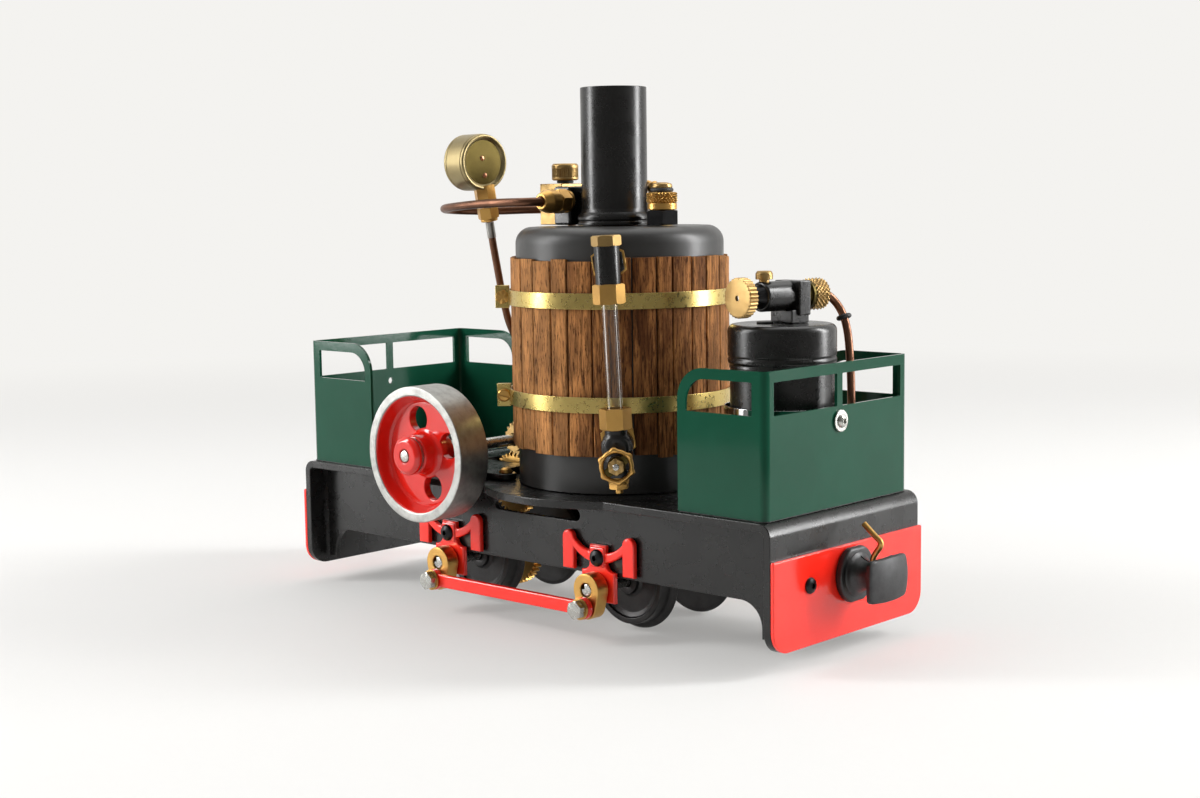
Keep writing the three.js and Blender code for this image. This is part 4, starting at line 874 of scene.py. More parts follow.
def make_boiler():
    low, inner, flue, crown = DECK_TOP + GAP, 33.0, 8.0, 78
    shoulder = arc(BOILER_R - 5.5, BOILER_TOP - 5.5, 5.5, 0, 78, 10)
    hollow = [(inner - 5.5, BOILER_TOP - 2), (inner, BOILER_TOP - 7.5)]
    profile = [
        (inner, low), (BOILER_R, low), (BOILER_R, LAGGING_LOW_Z), *shoulder, (22, BOILER_TOP - 0.1),
        (14, BOILER_TOP), (flue + 1.8, BOILER_TOP), (flue + 1.8, BOILER_TOP - 2), *hollow, (inner, low)]
    # The drum takes the black lightened as painted light.
    piece("boiler_drum", [turned(profile, (BOILER_X, 0, 0), Z_AXIS, 128, 0.15)], lit_boiler_black,
          replaces="boiler_shell")
    profile = [
        (flue, crown), (inner - 0.3, crown), (inner - 0.3, crown + 2), (flue + 1.5, crown + 2),
        (flue + 1.5, BOILER_TOP), (flue, BOILER_TOP), (flue, crown)]
    flue_and_crown = turned(profile, (BOILER_X, 0, 0), Z_AXIS, 64, 0)
    piece("flue_and_crown", [flue_and_crown], brown_copper, replaces="flue_tube")
    bore = CHIMNEY_R - 1.1
    low = BOILER_TOP + GAP
    profile = [
        (bore, low), (12.5, low), (12.5, low + 1.0), (12.1, low + 1.4), (12.5, low + 1.8), (12.5, low + 2.8),
        (12.0, low + 3.7), (11.5, low + 4.3), (CHIMNEY_R, low + 5.4), (CHIMNEY_R, CHIMNEY_TOP),
        (bore, CHIMNEY_TOP), (bore, low)]
    piece("chimney_tube", [turned(profile, (CHIMNEY_X, 0, 0), Z_AXIS, 96, 0.25)], satin_black,
          replaces="chimney")
    low = DECK_TOP + GAP
    head = turned([
        (0, 36), (3.9, 36), (3.9, low), (17.4, low), (17.4, low + 1.2), (11.9, low + 1.2), (11.9, 57.9),
        (0, 57.9)], (BOILER_X, 0, 0), Z_AXIS, 48)
    slots = []
    for i in range(-3, 4):
        y = 2.6 * i
        slots.append(block((BOILER_X - 9, y - 0.4, 57), (BOILER_X + 9, y + 0.4, 59), 0))
    piece("burner_head", [combined(head, slots)], turned_brass, replaces="burner")


# The heading round the boiler whose boards get painted shade; boards turned away from it get painted light.
SHADED_HEADING = math.radians(-31)


def make_staves():
    """Uneven boards side by side around the boiler, with painted shade on the boards facing the shaded
    heading and painted light on those turned away.
    """
    chance = random.Random(17)
    widths = [chance.uniform(0.72, 1.25) for _ in range(33)]
    total = sum(widths)
    solid = bmesh.new()
    tone_and_shade = solid.verts.layers.float.new("tone_and_shade")
    start = math.radians(100)
    inner = BOILER_R + GAP
    for width in widths:
        span = 2 * math.pi * width / total
        low = LAGGING_LOW_Z + chance.uniform(0, 1.4)
        high = LAGGING_TOP_Z - chance.uniform(0, 1.7)
        outer = LAGGING_R - 0.05 - chance.uniform(0, 0.22)
        gaps = [0.11 + chance.random() * 0.16 for _ in range(2)]
        # Painted light and shade: each board's value grows with its turn away from the shaded heading, plus a
        # random part.
        away_from_shade = abs(math.remainder(start + span / 2 - SHADED_HEADING, 2 * math.pi)) / math.radians(48)
        own_tone_and_shade = min(1.0, 0.05 + 0.3 * chance.random() + 0.65 * away_from_shade ** 1.5)
        rows = []
        steps = 18
        for i in range(steps + 1):
            z = low + (high - low) * i / steps
            a0 = start + gaps[0] / outer + chance.uniform(-0.05, 0.07) / outer
            a1 = start + span - gaps[1] / outer - chance.uniform(-0.05, 0.07) / outer
            middle = (a0 + a1) / 2
            half = (a1 - a0) / 2
            section = []
            for angle, radius in board_section(middle, half, inner, outer - chance.uniform(0, 0.05)):
                section.append((BOILER_X + radius * math.cos(angle), radius * math.sin(angle), z))
            rows.append(section)
        before = len(solid.verts)
        loft(rows, cap=True, into=solid)
        solid.verts.ensure_lookup_table()
        for vert in solid.verts[before:]:
            vert[tone_and_shade] = own_tone_and_shade
        start += span
    piece("stave_lagging", [solid], wood, replaces="lagging", bevel=0.12, sharp=30)


def board_section(middle, half, inner, outer):
    """Points (angle, radius) of a nearly flat board with worn outer corners."""
    flat = [
        (-half, inner), (-half, outer - 0.45), (-half * 0.965, outer - 0.16), (-half * 0.88, outer - 0.05)]
    points = flat + [(-half * 0.45, outer), (0, outer), (half * 0.45, outer)]
    points += [(-a, r) for a, r in reversed(flat)]
    return [(middle + a, r) for a, r in points]


def make_band(name, z, screw):
    """A strip round the boards; its ends are bent out and drawn together by a screw."""
    low, high = z - BAND_WIDTH / 2, z + BAND_WIDTH / 2
    inner = LAGGING_R + GAP
    hoop = ring(inner, inner + 0.55, low, high, (BOILER_X, 0, 0), Z_AXIS, 160, 0.12)
    heading = math.radians(-137.5)
    out = Vector((math.cos(heading), math.sin(heading), 0))
    sideways = Vector((-out.y, out.x, 0))
    turn = Matrix.Translation((BOILER_X, 0, 0)) @ Matrix.Rotation(heading, 4, "Z")
    tabs = []
    for low_y, high_y in ((-1.55, -0.55), (0.55, 1.55)):
        tab = block((inner + 0.1, low_y, z - 3.8), (inner + 4.8, high_y, z + 3.8), 0.2)
        tab.transform(turn)
        tabs.append(tab)
    middle = Vector((BOILER_X, 0, z)) + out * (inner + 2.4)
    near = middle + sideways * 1.55
    far = middle - sideways * 1.55
    piece(name + "_strip", [hoop, *tabs], band_brass, replaces=name)
    if screw == "slot":
        head = slotted_head(2.2, 1.2, 0.8, near, sideways, 28)
    else:
        head = nut(4.2, 0, 1.5, near, sideways)
    shank = disc(0.9, -3.5, 0.2, near, sideways, 24)
    piece(name + "_screw", [head, shank, nut(3.6, 0, 1.4, far, -sideways)], turned_brass)


make_boiler()
make_staves()
make_band("lower_band", BAND_Z[0], "slot")
make_band("upper_band", BAND_Z[1], "hex")


# ---------------------------------------------------------------- boiler-top fittings

def make_safety_valve():
    origin = (34, 0, BOILER_TOP + GAP)
    piece("safety_valve_hexagon", [nut(10, 0, 4.8, origin, Z_AXIS, 1.6, 12)], black_oxide)
    stem = turned([
        (1.6, 4.0), (4.0, 4.0), (4.0, 4.9), (4.9, 5.0), (4.9, 7.1), (1.6, 7.1), (1.6, 4.0)], origin)
    collar = knurled(5.2, 0.75, 7.1, 10.7, 26, True, origin, Z_AXIS, 1.6, 0.2)
    piece("safety_valve_stem", [stem, collar], turned_brass, replaces="safety_valve_body")
    piece("safety_valve_seal", [torus(3.1, 0.75, (34, 0, origin[2] + 11.4), Z_AXIS)], black_rubber)
    top = turned([
        (0, 8.6), (1.2, 8.6), (1.2, 11.9), (3.4, 12.1), (3.5, 12.5), (3.2, 13.4), (1.6, 13.9),
        (0, 13.9)], origin)
    piece("safety_valve_cap", [top], bright_brass, "safety_valve_button", "safety_valve_button")


def make_filler_fittings():
    """The square brass turret and its plug that show behind the safety valve."""
    foot = BOILER_TOP
    parts = [block((21, 9.5, foot), (26, 14.5, 141.4), 0.3), disc(3.4, foot, foot + 1.4, (23.5, 12, 0))]
    piece("filler_turret", parts, bright_brass)
    plug = turned([
        (0, -3), (1.7, -3), (1.7, 0), (2.3, 0.4), (2.3, 2.6), (1.2, 3.6), (0.5, 5.4), (0, 5.4)],
        (21.4, 12, 143.4), (-0.62, 0, 0.5), 32)
    piece("filler_plug", [disc(2.1, 0, 3.4, (23.5, 12, 141)), plug], turned_brass)


def make_steam_block():
    x, y, foot = -13.9, 2.2, BOILER_TOP + GAP
    body = block((x - 5.2, y - 5.2, foot), (x + 5.2, y + 5.2, 146.4), 0.3)
    hole = disc(1.6, 142, 148, (-12.9, 3.3, 0), Z_AXIS, 32, 0)
    piece("steam_block_body", [combined(body, [hole])], bright_brass, replaces="steam_block")
    origin = (-12.9, 3.3, 0)
    piece("regulator_seal", [torus(2.4, 0.55, (-12.9, 3.3, 147.05), Z_AXIS)], black_rubber)
    stem = disc(1.25, 143, 148, origin, Z_AXIS, 24)
    lower = turned([(0, 147.5), (4.1, 147.5), (4.65, 147.9), (4.65, 148.6), (0, 148.6)], origin)
    grip = knurled(4.6, 0.3, 148.5, 151.6, 44, False, origin, Z_AXIS, 0, 0.15)
    upper = turned([(0, 151.5), (4.65, 151.5), (4.65, 152.6), (4.1, 153.3), (0, 153.3)], origin)
    piece("regulator_cap", [stem, lower, grip, upper], bright_brass, "regulator_knob", "regulator_knob")


def make_steam_elbow():
    x, z = -4.5, 140.4
    arm = block((-8.4, -7.5, BOILER_TOP + GAP), (-0.6, 0.8, 145.4), 0.9)
    web = block((-1.2, -3.2, BOILER_TOP + GAP), (1.2, 0.6, 143.5), 0.4)
    piece("steam_elbow_arm", [arm, web], satin_black, replaces="steam_elbow")
    origin, towards = (-2.6, 0, z), (0, -1, 0)
    collar = disc(3.9, 6.8, 8.0, origin, towards)
    hexagon = nut(7.4, 8.0, 12.4, origin, towards, 0, 15)
    cone = turned([
        (1.7, 12.2), (3.5, 12.2), (3.9, 12.8), (3.9, 16.6), (3.3, 18.4), (2.6, 19.6), (1.7, 19.6),
        (1.7, 12.2)], origin, towards)
    piece("steam_union", [collar, hexagon, cone], turned_brass)


STEAM_ROUTE = [
    (-2.6, -16, 140.4), (-2.6, -21, 140.4), (-5, -24.6, 140.3), (-12, -26.3, 140.2), (-23, -26.4, 139.9),
    (-35, -25.6, 139.2), (-46, -22.4, 138.5), (-52.6, -16.6, 138), (-53.2, -10.6, 137.6), (-48, -4.6, 137.3),
    (-40, -0.4, 137.3), (-32, 5, 137.5), (-27, 11.5, 137.2), (-25.8, 18, 135), (-26.2, 21.2, 128),
    (-27.6, 22.2, 116), (-30, 21.6, 106), (-30.5, 21.5, 98.6)]
GAUGE_ROUTE = [
    (-36.2, -11, 133.3), (-36.1, -10.1, 128), (-35.7, -8.3, 118), (-35, -6.4, 107), (-33.6, -4.5, 97),
    (-31.2, -1.6, 89.6), (-27.6, 1.4, 85.4), (-22.5, 4.4, 83.8)]


def make_pipes():
    piece("steam_pipe_tube", [tube(STEAM_ROUTE, 1.45)], brown_copper, replaces="steam_pipe")
    piece("steam_pipe_nut", [nut(6.4, 98.4, 101.6, (-30.5, 21.5, 0), Z_AXIS)], turned_brass)
    piece("gauge_pipe_tube", [tube(GAUGE_ROUTE, 1.3)], brown_copper, replaces="gauge_pipe")
    soldered = [GAUGE_ROUTE[0], (-36.15, -10.6, 131), GAUGE_ROUTE[1]]
    piece("gauge_pipe_solder", [tube(soldered, 1.5)], dull_steel)
    (x0, y0, _), (x1, y1, _) = GAUGE_ROUTE[-2:]
    away = Vector((x1 - x0, y1 - y0, 0))
    piece("gauge_pipe_nut", [nut(5.6, -2.6, 0.6, GAUGE_ROUTE[-1], away)], turned_brass)


make_safety_valve()
make_filler_fittings()
make_steam_block()
make_steam_elbow()
make_pipes()


# ---------------------------------------------------------------- pressure gauge

DIAL_HEADING = math.radians(173)
DIAL_AXIS = Vector((math.cos(DIAL_HEADING), math.sin(DIAL_HEADING), 0))
DIAL_RIGHT = Z_AXIS.cross(DIAL_AXIS)
GAUGE_BACK = Vector((-33.8, -15, 154.2))
GAUGE_R, GAUGE_DEPTH = 9.8, 11.0
FIRST_MARK = -135
GAUGE_LEAN = leaning(GAUGE_BACK, DIAL_AXIS, -10)


def on_dial(solid, depth, angle=0.0):
    """Puts a flat piece drawn in XY (Y towards the dial's top) on the dial, turned clockwise by the angle."""
    columns = Matrix((DIAL_RIGHT, Z_AXIS, DIAL_AXIS)).transposed().to_4x4()
    spin = Matrix.Rotation(-math.radians(angle), 4, "Z")
    place = Matrix.Translation(GAUGE_BACK + DIAL_AXIS * depth) @ columns @ spin
    solid.transform(place)
    return solid


def numeral(text, angle):
    """A number on the dial, its foot towards the middle of the bezel."""
    curve = bpy.data.curves.new("numeral", "FONT")
    curve.body = text
    curve.size = 2.0
    curve.align_x, curve.align_y = "CENTER", "CENTER"
    curve.extrude = 0.03
    solid = solid_from_curve(curve)
    turn = math.radians(angle)
    solid.transform(Matrix.Translation((4.7 * math.sin(turn), 4.7 * math.cos(turn), 0)))
    return on_dial(solid, GAUGE_DEPTH - 2.12)


def gauge_piece(name, parts, material, body="chassis", replaces=None):
    return piece(name, parts, material, body, replaces, lean=GAUGE_LEAN)


def make_gauge():
    face = GAUGE_DEPTH - 2.2
    drum = turned([
        (8.6, 1.5), (GAUGE_R, 1.5), (GAUGE_R, GAUGE_DEPTH - 1.6), (9.5, GAUGE_DEPTH - 1.5),
        (GAUGE_R, GAUGE_DEPTH - 1.3), (GAUGE_R, GAUGE_DEPTH - 0.3), (9.4, GAUGE_DEPTH),
        (8.8, GAUGE_DEPTH - 0.5), (8.8, face), (8.6, face), (8.6, 1.5)], GAUGE_BACK, DIAL_AXIS, 96)
    gauge_piece("gauge_drum", [drum], satin_brass, replaces="gauge_case")
    rim = turned([
        (7.6, 1.0), (8.0, 0.55), (8.7, 0.1), (9.2, 0.0), (9.6, 0.25), (9.75, 0.8), (9.75, 1.3), (9.0, 1.35),
        (7.6, 1.35), (7.6, 1.0)], GAUGE_BACK, DIAL_AXIS, 96, 0.15)
    gauge_piece("gauge_back_rim", [rim], satin_brass)
    plate_back = turned([(0, 0.95), (7.9, 0.95), (7.9, 1.4), (0, 1.4)], GAUGE_BACK, DIAL_AXIS, 64)
    gauge_piece("gauge_back_plate", [plate_back], olive_brass)
    rivets = []
    for height in (1.4, -4.6):
        at = GAUGE_BACK + Z_AXIS * height + DIAL_RIGHT * 0.2 + DIAL_AXIS * 0.95
        profile = [(0, -0.2), (0.95, -0.2), (0.9, 0.15), (0.6, 0.4), (0, 0.5)]
        rivets.append(turned(profile, at, -DIAL_AXIS, 24))
    gauge_piece("gauge_rivets", rivets, red_copper)
    card = turned([(0, face - 1.4), (8.65, face - 1.4), (8.65, face - 0.05), (0, face - 0.05)],
                  GAUGE_BACK, DIAL_AXIS, 64)
    gauge_piece("gauge_dial", [card], dial_card)
    marks = []
    for i in range(31):
        long = i % 5 == 0
        half, foot = (0.14, 6.3) if long else (0.07, 7.0)
        tick = block((-half, foot, -0.05), (half, 7.9, 0.03), 0)
        marks.append(on_dial(tick, face, FIRST_MARK + 9 * i))
    marks += [numeral(str(20 * i), FIRST_MARK + 45 * i) for i in range(7)]
    gauge_piece("gauge_marks", marks, dial_ink)
    crystal = turned([(0, face + 1.5), (8.75, face + 1.5), (8.75, face + 2.0), (0, face + 2.0)],
                     GAUGE_BACK, DIAL_AXIS, 64)
    gauge_piece("gauge_crystal", [crystal], glass)
    pointer = plate([(-0.55, -2.4), (0.55, -2.4), (0.14, 6.6), (-0.14, 6.6)], 0.42, 0.72, "xy", [], 0.05)
    hub = disc(1.1, 0.3, 1.0, sides=32)
    needle = [on_dial(pointer, face, FIRST_MARK), on_dial(hub, face)]
    gauge_piece("gauge_pointer", needle, dial_ink, "gauge_needle", "gauge_needle")
    stem = (-36.7, -14.6, 0)
    parts = [
        nut(6.6, 140.6, 146.2, stem, Z_AXIS, 0, 30), disc(1.9, 137.5, 141.2, stem, Z_AXIS, 32),
        nut(6.6, 134.4, 138.4, stem, Z_AXIS, 0, 30), disc(3.0, 133.4, 134.6, stem, Z_AXIS, 40, 0.4)]
    gauge_piece("gauge_stem", parts, turned_brass)


make_gauge()


# ---------------------------------------------------------------- water gauge

WATER_GAUGE_R, GLASS_R, GLASS_TOP_Z, GLASS_LOW_Z, DRAIN_Z = 46.0, 2.55, 111.4, 72.6, 58.3
UPPER_ARM_Z, LOWER_ARM_Z = 121, 64.4
OUTWARD = Vector((math.sin(GAUGE_ANGLE), -math.cos(GAUGE_ANGLE), 0))
BOILER_AXIS = Vector((BOILER_X, 0, 0))
COLUMN = BOILER_AXIS + OUTWARD * WATER_GAUGE_R
COLUMN_TURN = math.degrees(GAUGE_ANGLE) - 90
COLUMN_LEAN = leaning(COLUMN + Z_AXIS * 92, OUTWARD, 2.3)


def arm_from_boiler(z):
    """The black arm from the lagging to the column."""
    origin = BOILER_AXIS + Z_AXIS * z
    return disc(2.6, LAGGING_R + GAP, WATER_GAUGE_R - 1, origin, OUTWARD, 32)


def arm_nut(z):
    return nut(10.6, LAGGING_R + GAP, LAGGING_R + 1.9, BOILER_AXIS + Z_AXIS * z, OUTWARD, 0, 15)


def column_piece(name, parts, material, body="chassis", replaces=None):
    return piece(name, parts, material, body, replaces, lean=COLUMN_LEAN)


def make_water_gauge():
    hollow = disc(GLASS_R + GAP, 100, GLASS_TOP_Z + GAP, COLUMN, Z_AXIS, 32, 0)
    body = disc(4.0, 114.5, 126.7, COLUMN, Z_AXIS, 64, 0.3)
    boss = nut(9.4, LAGGING_R + 2, LAGGING_R + 4.6, BOILER_AXIS + Z_AXIS * UPPER_ARM_Z, OUTWARD, 0, 15)
    column_piece("water_gauge_upper_body", [body, boss, arm_from_boiler(UPPER_ARM_Z)], satin_black,
                 replaces="water_gauge_top")
    cap = nut(8.2, 126.5, 129.9, COLUMN, Z_AXIS, 0, COLUMN_TURN + 30)
    column_piece("water_gauge_cap", [cap], bright_brass)
    column_piece("water_gauge_arm_nuts", [arm_nut(UPPER_ARM_Z), arm_nut(LOWER_ARM_Z)], turned_brass)
    upper = combined(nut(8.9, 108.4, 114.7, COLUMN, Z_AXIS, 0, COLUMN_TURN + 30), [hollow])
    lower_hollow = disc(GLASS_R + GAP, GLASS_LOW_Z - GAP, 80, COLUMN, Z_AXIS, 32, 0)
    lower = combined(nut(8.9, 68.9, 75.7, COLUMN, Z_AXIS, 0, COLUMN_TURN + 30), [lower_hollow])
    column_piece("water_gauge_nuts", [upper, lower], turned_brass, replaces="water_gauge_bottom")
    glass_tube = ring(GLASS_R - 0.8, GLASS_R, GLASS_LOW_Z, GLASS_TOP_Z, COLUMN, Z_AXIS, 48, 0.1)
    column_piece("water_gauge_tube", [glass_tube], glass, replaces="water_gauge_glass")
    valve = BOILER_AXIS + Z_AXIS * DRAIN_Z
    black = [
        turned([(0, 53.8), (3.9, 53.8), (4.3, 55), (4.3, 62), (3.9, 64), (4.3, 65.2), (4.3, 66.4),
                (3.6, 67.4), (3.6, 69.2), (0, 69.2)], COLUMN, Z_AXIS, 48),
        arm_from_boiler(LOWER_ARM_Z),
        turned([(0, 40), (5.1, 40), (5.1, 46.6), (4.8, 47.8), (4.1, 48.6), (3.9, 49.5), (2.9, 50.1),
                (0, 50.1)], BOILER_AXIS + Z_AXIS * 63.4, OUTWARD, 64),
        turned([(0, 43), (3.5, 43), (3.5, 49.2), (3.0, 50.0), (0, 50.0)], valve, OUTWARD, 40)]
    column_piece("drain_body", black, satin_black)
    spout = [
        disc(3.3, 51.6, 54.2, COLUMN, Z_AXIS, 40, 0.3), nut(5.6, 50.0, 51.9, COLUMN, Z_AXIS),
        turned([(0, 48.5), (1.2, 48.5), (1.2, 50.3), (0, 50.3)], COLUMN, Z_AXIS, 24),
        turned([(0, 49.6), (2.7, 49.6), (2.7, 51.4), (0, 51.4)], valve, OUTWARD, 32)]
    column_piece("drain_fittings", spout, turned_brass)


def make_handwheel():
    """Six-lobed wheel: scalloped rim, a broad bar across and a hexagonal nut on the spindle."""
    face = WATER_GAUGE_R + 6.7
    rows = []
    count = 144
    section = arc(0, 0, 1.0, 0, 360, 12)[:-1]
    for u, v in section:
        row = []
        for i in range(count):
            angle = 2 * math.pi * i / count
            lobe = max(0.0, math.cos(6 * angle)) ** 1.5
            radius = 4.75 + 0.35 * lobe + u * (0.72 + 0.3 * lobe)
            row.append((radius * math.cos(angle), radius * math.sin(angle), face + 1.1 + 1.05 * v))
        rows.append(row)
    origin = BOILER_AXIS + Z_AXIS * DRAIN_Z
    rim = aimed(loft(rows, ring=True), origin, OUTWARD, 15)
    spoke = block((-4.6, -1.5, face + 0.3), (4.6, 1.5, face + 1.5), 0.35)
    hub = turned([(0, face - 0.6), (2.4, face - 0.6), (3.0, face + 0.2), (2.9, face + 1.4), (2.3, face + 1.9),
                  (0, face + 1.9)], origin, OUTWARD, 40)
    column_piece("handwheel_rim", [rim], turned_brass, "drain_handwheel", "drain_handwheel")
    bar = aimed(spoke, origin, OUTWARD, 75)
    column_piece("handwheel_hub", [bar, hub], olive_brass, "drain_handwheel")
    hexagon = nut(4.7, face + 1.8, face + 3.3, origin, OUTWARD, 0, 10)
    spindle = disc(1.0, WATER_GAUGE_R + 4.0, face + 0.4, origin, OUTWARD, 24)
    column_piece("handwheel_nut", [hexagon, spindle], bright_brass, "drain_handwheel")
    end = slotted_head(1.05, 0.6, 0.25, origin + OUTWARD * (face + 3.1), OUTWARD, 40)
    column_piece("handwheel_screw", [end], bright_steel, "drain_handwheel")


make_water_gauge()
make_handwheel()


# ---------------------------------------------------------------- gas tank

TANK_FLOOR_Z = DECK_TOP + GAP + 1 + GAP
TANK_R, TANK_LID_R, TANK_TOP = 16.4, 17.1, 101.7
VALVE_HEADING = math.radians(79)
VALVE_AXIS = Vector((math.cos(VALVE_HEADING), math.sin(VALVE_HEADING), 0))
VALVE_CENTRE = Vector((TANK_X, 0, VALVE_Z))
GAS_ROUTE = [
    VALVE_CENTRE + VALVE_AXIS * 14, VALVE_CENTRE + VALVE_AXIS * 18.4, (88.2, 20.9, 107.6),
    (90.8, 21.4, 103.8), (92.8, 21.2, 98.5), (94.4, 20.6, 88), (95.2, 20.1, 76),
    *((*GAS_HOLE, z) for z in (64, 52, 44)),
    (93, 19.4, 39.4), (84, 17.4, 38.2), (66, 13.2, 38.2), (48, 8.6, 38.2), (34, 4.9, 38.2), (19.9, 1.2, 38.2)]


def make_gas_tank():
    low = TANK_FLOOR_Z
    cup = turned([
        (0, low), (18.2, low), (18.4, low + 0.4), (18.4, 76.2), (17.95, 76.2), (17.95, low + 0.6),
        (0, low + 0.6)], (TANK_X, 0, 0), Z_AXIS, 96, 0.1)
    piece("water_bath_cup", [cup], chrome, replaces="water_bath")
    low += 0.6 + GAP
    profile = [
        (0, low), (TANK_R - 1.5, low), (TANK_R, low + 1.5), (TANK_R, 87.8), (TANK_R + 0.25, 88.2),
        (TANK_R + 0.1, 89.2), (TANK_LID_R, 89.9), (TANK_LID_R, 90.8), (TANK_LID_R - 0.35, 91.4),
        (TANK_LID_R, 92.0)]
    profile += arc(TANK_LID_R - 2.2, TANK_TOP - 2.2, 2.2, 0, 80, 6) + [(0, TANK_TOP)]
    drum = turned(profile, (TANK_X, 0, 0), Z_AXIS, 96, 0.2)
    piece("gas_tank_drum", [drum], satin_black, replaces="gas_tank")
    vent = disc(2.6, 0, 0.6, (78.9, -3.6, TANK_TOP), Z_AXIS, 40)
    piece("gas_tank_vent", [vent], black_rubber)


def make_gas_valve():
    def along(profile, sides=56, soft=0.2):
        return turned(profile, VALVE_CENTRE, VALVE_AXIS, sides, soft)

    def square(x0, x1, half, z0, z1, edge):
        post = block((x0, -half, z0), (x1, half, z1), edge)
        post.transform(Matrix.Translation((TANK_X, 0, 0)) @ Matrix.Rotation(VALVE_HEADING, 4, "Z"))
        return post

    post = square(2.1, 6.9, 5.85, 104.2, VALVE_Z + 4.7, 0.45)
    foot = square(-0.4, 6.9, 5.0, TANK_TOP + 0.05, 106.0, 0.4)
    barrel = along([(0, -9.4), (4.2, -9.4), (4.7, -9.0), (4.7, 2.4), (0, 2.4)], soft=0.3)
    piece("gas_valve_post", [post, foot], satin_black, replaces="gas_valve_body")
    piece("gas_valve_barrel", [barrel], satin_black)
    neck = along([(1.5, -14.2), (2.3, -14.2), (3.3, -11.4), (3.9, -9.2), (1.5, -9.2), (1.5, -14.2)])
    inner = along([(0, 6.6), (3.9, 6.6), (3.9, 9.2), (4.6, 9.5), (4.6, 10.8), (0, 10.8)])
    piece("gas_valve_neck", [neck], black_oxide)
    piece("gas_valve_collar", [inner], olive_brass)
    union = knurled(5.2, 0.7, 10.6, 16.6, 24, True, VALVE_CENTRE, VALVE_AXIS, 1.7, 0.35)
    cone = along([(1.6, 16.5), (4.2, 16.5), (3.2, 17.4), (1.6, 17.4), (1.6, 16.5)])
    screw_at = VALVE_CENTRE + VALVE_AXIS * -7.4
    screw = [
        disc(1.6, 4.0, 5.6, screw_at, Z_AXIS, 32),
        slotted_head(2.7, 2.6, 0.5, screw_at + Z_AXIS * 5.4, Z_AXIS, 35),
    ]
    piece("gas_valve_union", [union, cone, *screw], bright_brass)
    knob = knurled(6.3, 0.42, -18.5, -15.0, 30, False, VALVE_CENTRE, VALVE_AXIS, 0.9, 0.3)
    boss = along([(0.9, -15.2), (2.2, -15.2), (2.2, -14.5), (0.9, -14.5), (0.9, -15.2)])
    pip = along([(0, -17.9), (0.9, -17.9), (0.9, -9.6), (0, -9.6)], 24, 0.1)
    piece("gas_knob_grip", [knob, boss], bright_brass, "gas_knob", "gas_knob")
    piece("gas_knob_spindle", [pip], dull_steel, "gas_knob")


def make_gas_pipe():
    piece("gas_pipe_tube", [tube(GAS_ROUTE, 1.3)], worn_copper, replaces="gas_pipe")
    sleeve_at, sleeve_towards = Vector((91.3, 21.5, 102.7)), Vector((1.6, 0, -4.3))
    piece("gas_pipe_ring", [torus(1.75, 0.75, sleeve_at, sleeve_towards, 40)], black_rubber)
    profile = [(1.4, -0.1), (2.6, 0.0), (2.6, 0.9), (1.5, 1.3), (1.4, -0.1)]
    grommet = turned(profile, (*GAS_HOLE, TANK_FLOOR_Z - 0.25))
    piece("gas_pipe_grommet", [grommet], black_rubber)
    jet = nut(6, 0, 5, GAS_ROUTE[-1], Vector((14.1, 3.7, 0)))
    piece("gas_jet", [jet], turned_brass)


make_gas_tank()
make_gas_valve()
make_gas_pipe()


# ---------------------------------------------------------------- wheels, cranks and rods

def flat_axle(end):
    """An axle whose ends have a flat for the crank."""
    middle = (end * AXLE_X, 0, AXLE_Z)
    bar = disc(2.0, -40.3, 40.3, middle, Y_AXIS, 40, 0.3)
    flats = []
    for side in (-1, 1):
        y0, y1 = sorted((side * 36.5, side * 41.0))
        flats.append(block((end * AXLE_X - 3, y0, AXLE_Z + 0.2), (end * AXLE_X - 0.7, y1, AXLE_Z + 3), 0))
    return combined(bar, flats)


def make_wheelset(end, place):
    body = f"{place}_wheelset"
    middle = (end * AXLE_X, 0, AXLE_Z)
    piece(f"{place}_axle_bar", [flat_axle(end)], bright_steel, body, f"{place}_axle")
    for side, label in ((-1, "right"), (1, "left")):
        profile = [
            (2.25, 14), (15.6, 14), (16.8, 14.5), (16.8, 14.9), (16.2, 15.5), (15.0, 15.9), (14.8, 16.5),
            (14.55, 20.4), (14.2, 20.6), (12.6, 20.6), (12.3, 19.8), (10.8, 19.2), (5.6, 19.2), (4.6, 19.9),
            (4.4, 21.2), (2.25, 21.2), (2.25, 14)]
        wheel = turned(profile, middle, (0, side, 0), 96, 0.2)
        name = f"{place}_wheel_{label}"
        piece(f"{name}_casting", [wheel], wheel_iron, body, name)
        make_crank(end, side, f"{place}_crank_{label}", body)


def pin_place(end, side):
    """The crank pin's (x, z): near-side cranks hang down and far-side ones point forwards."""
    if side < 0:
        return end * AXLE_X, AXLE_Z - CRANK_THROW
    return end * AXLE_X + CRANK_THROW, AXLE_Z


def make_crank(end, side, name, body):
    centre, pin = (end * AXLE_X, AXLE_Z), pin_place(end, side)
    y0, y1 = sorted((side * 35.6, side * 40.6))
    web = plate(link_outline(centre, 5.4, pin, 4), y0, y1, "xz", [circle(*centre, 2.35, 32)], 0.3)
    piece(f"{name}_web", [web], turned_brass, body, name)
    foot, outwards = (pin[0], 0, pin[1]), (0, side, 0)
    washer = ring(1.5, 3.5, 43.3, 43.9, foot, outwards, 48, 0.12)
    piece(f"{name}_washer", [washer], turned_brass, body)
    stud = disc(1.5, 39, 44, foot, outwards, 32)
    head = nut(5.5, 43.85, 46.3, foot, outwards, 0, 20)
    piece(f"{name}_bolt", [stud, head], bright_steel, body)


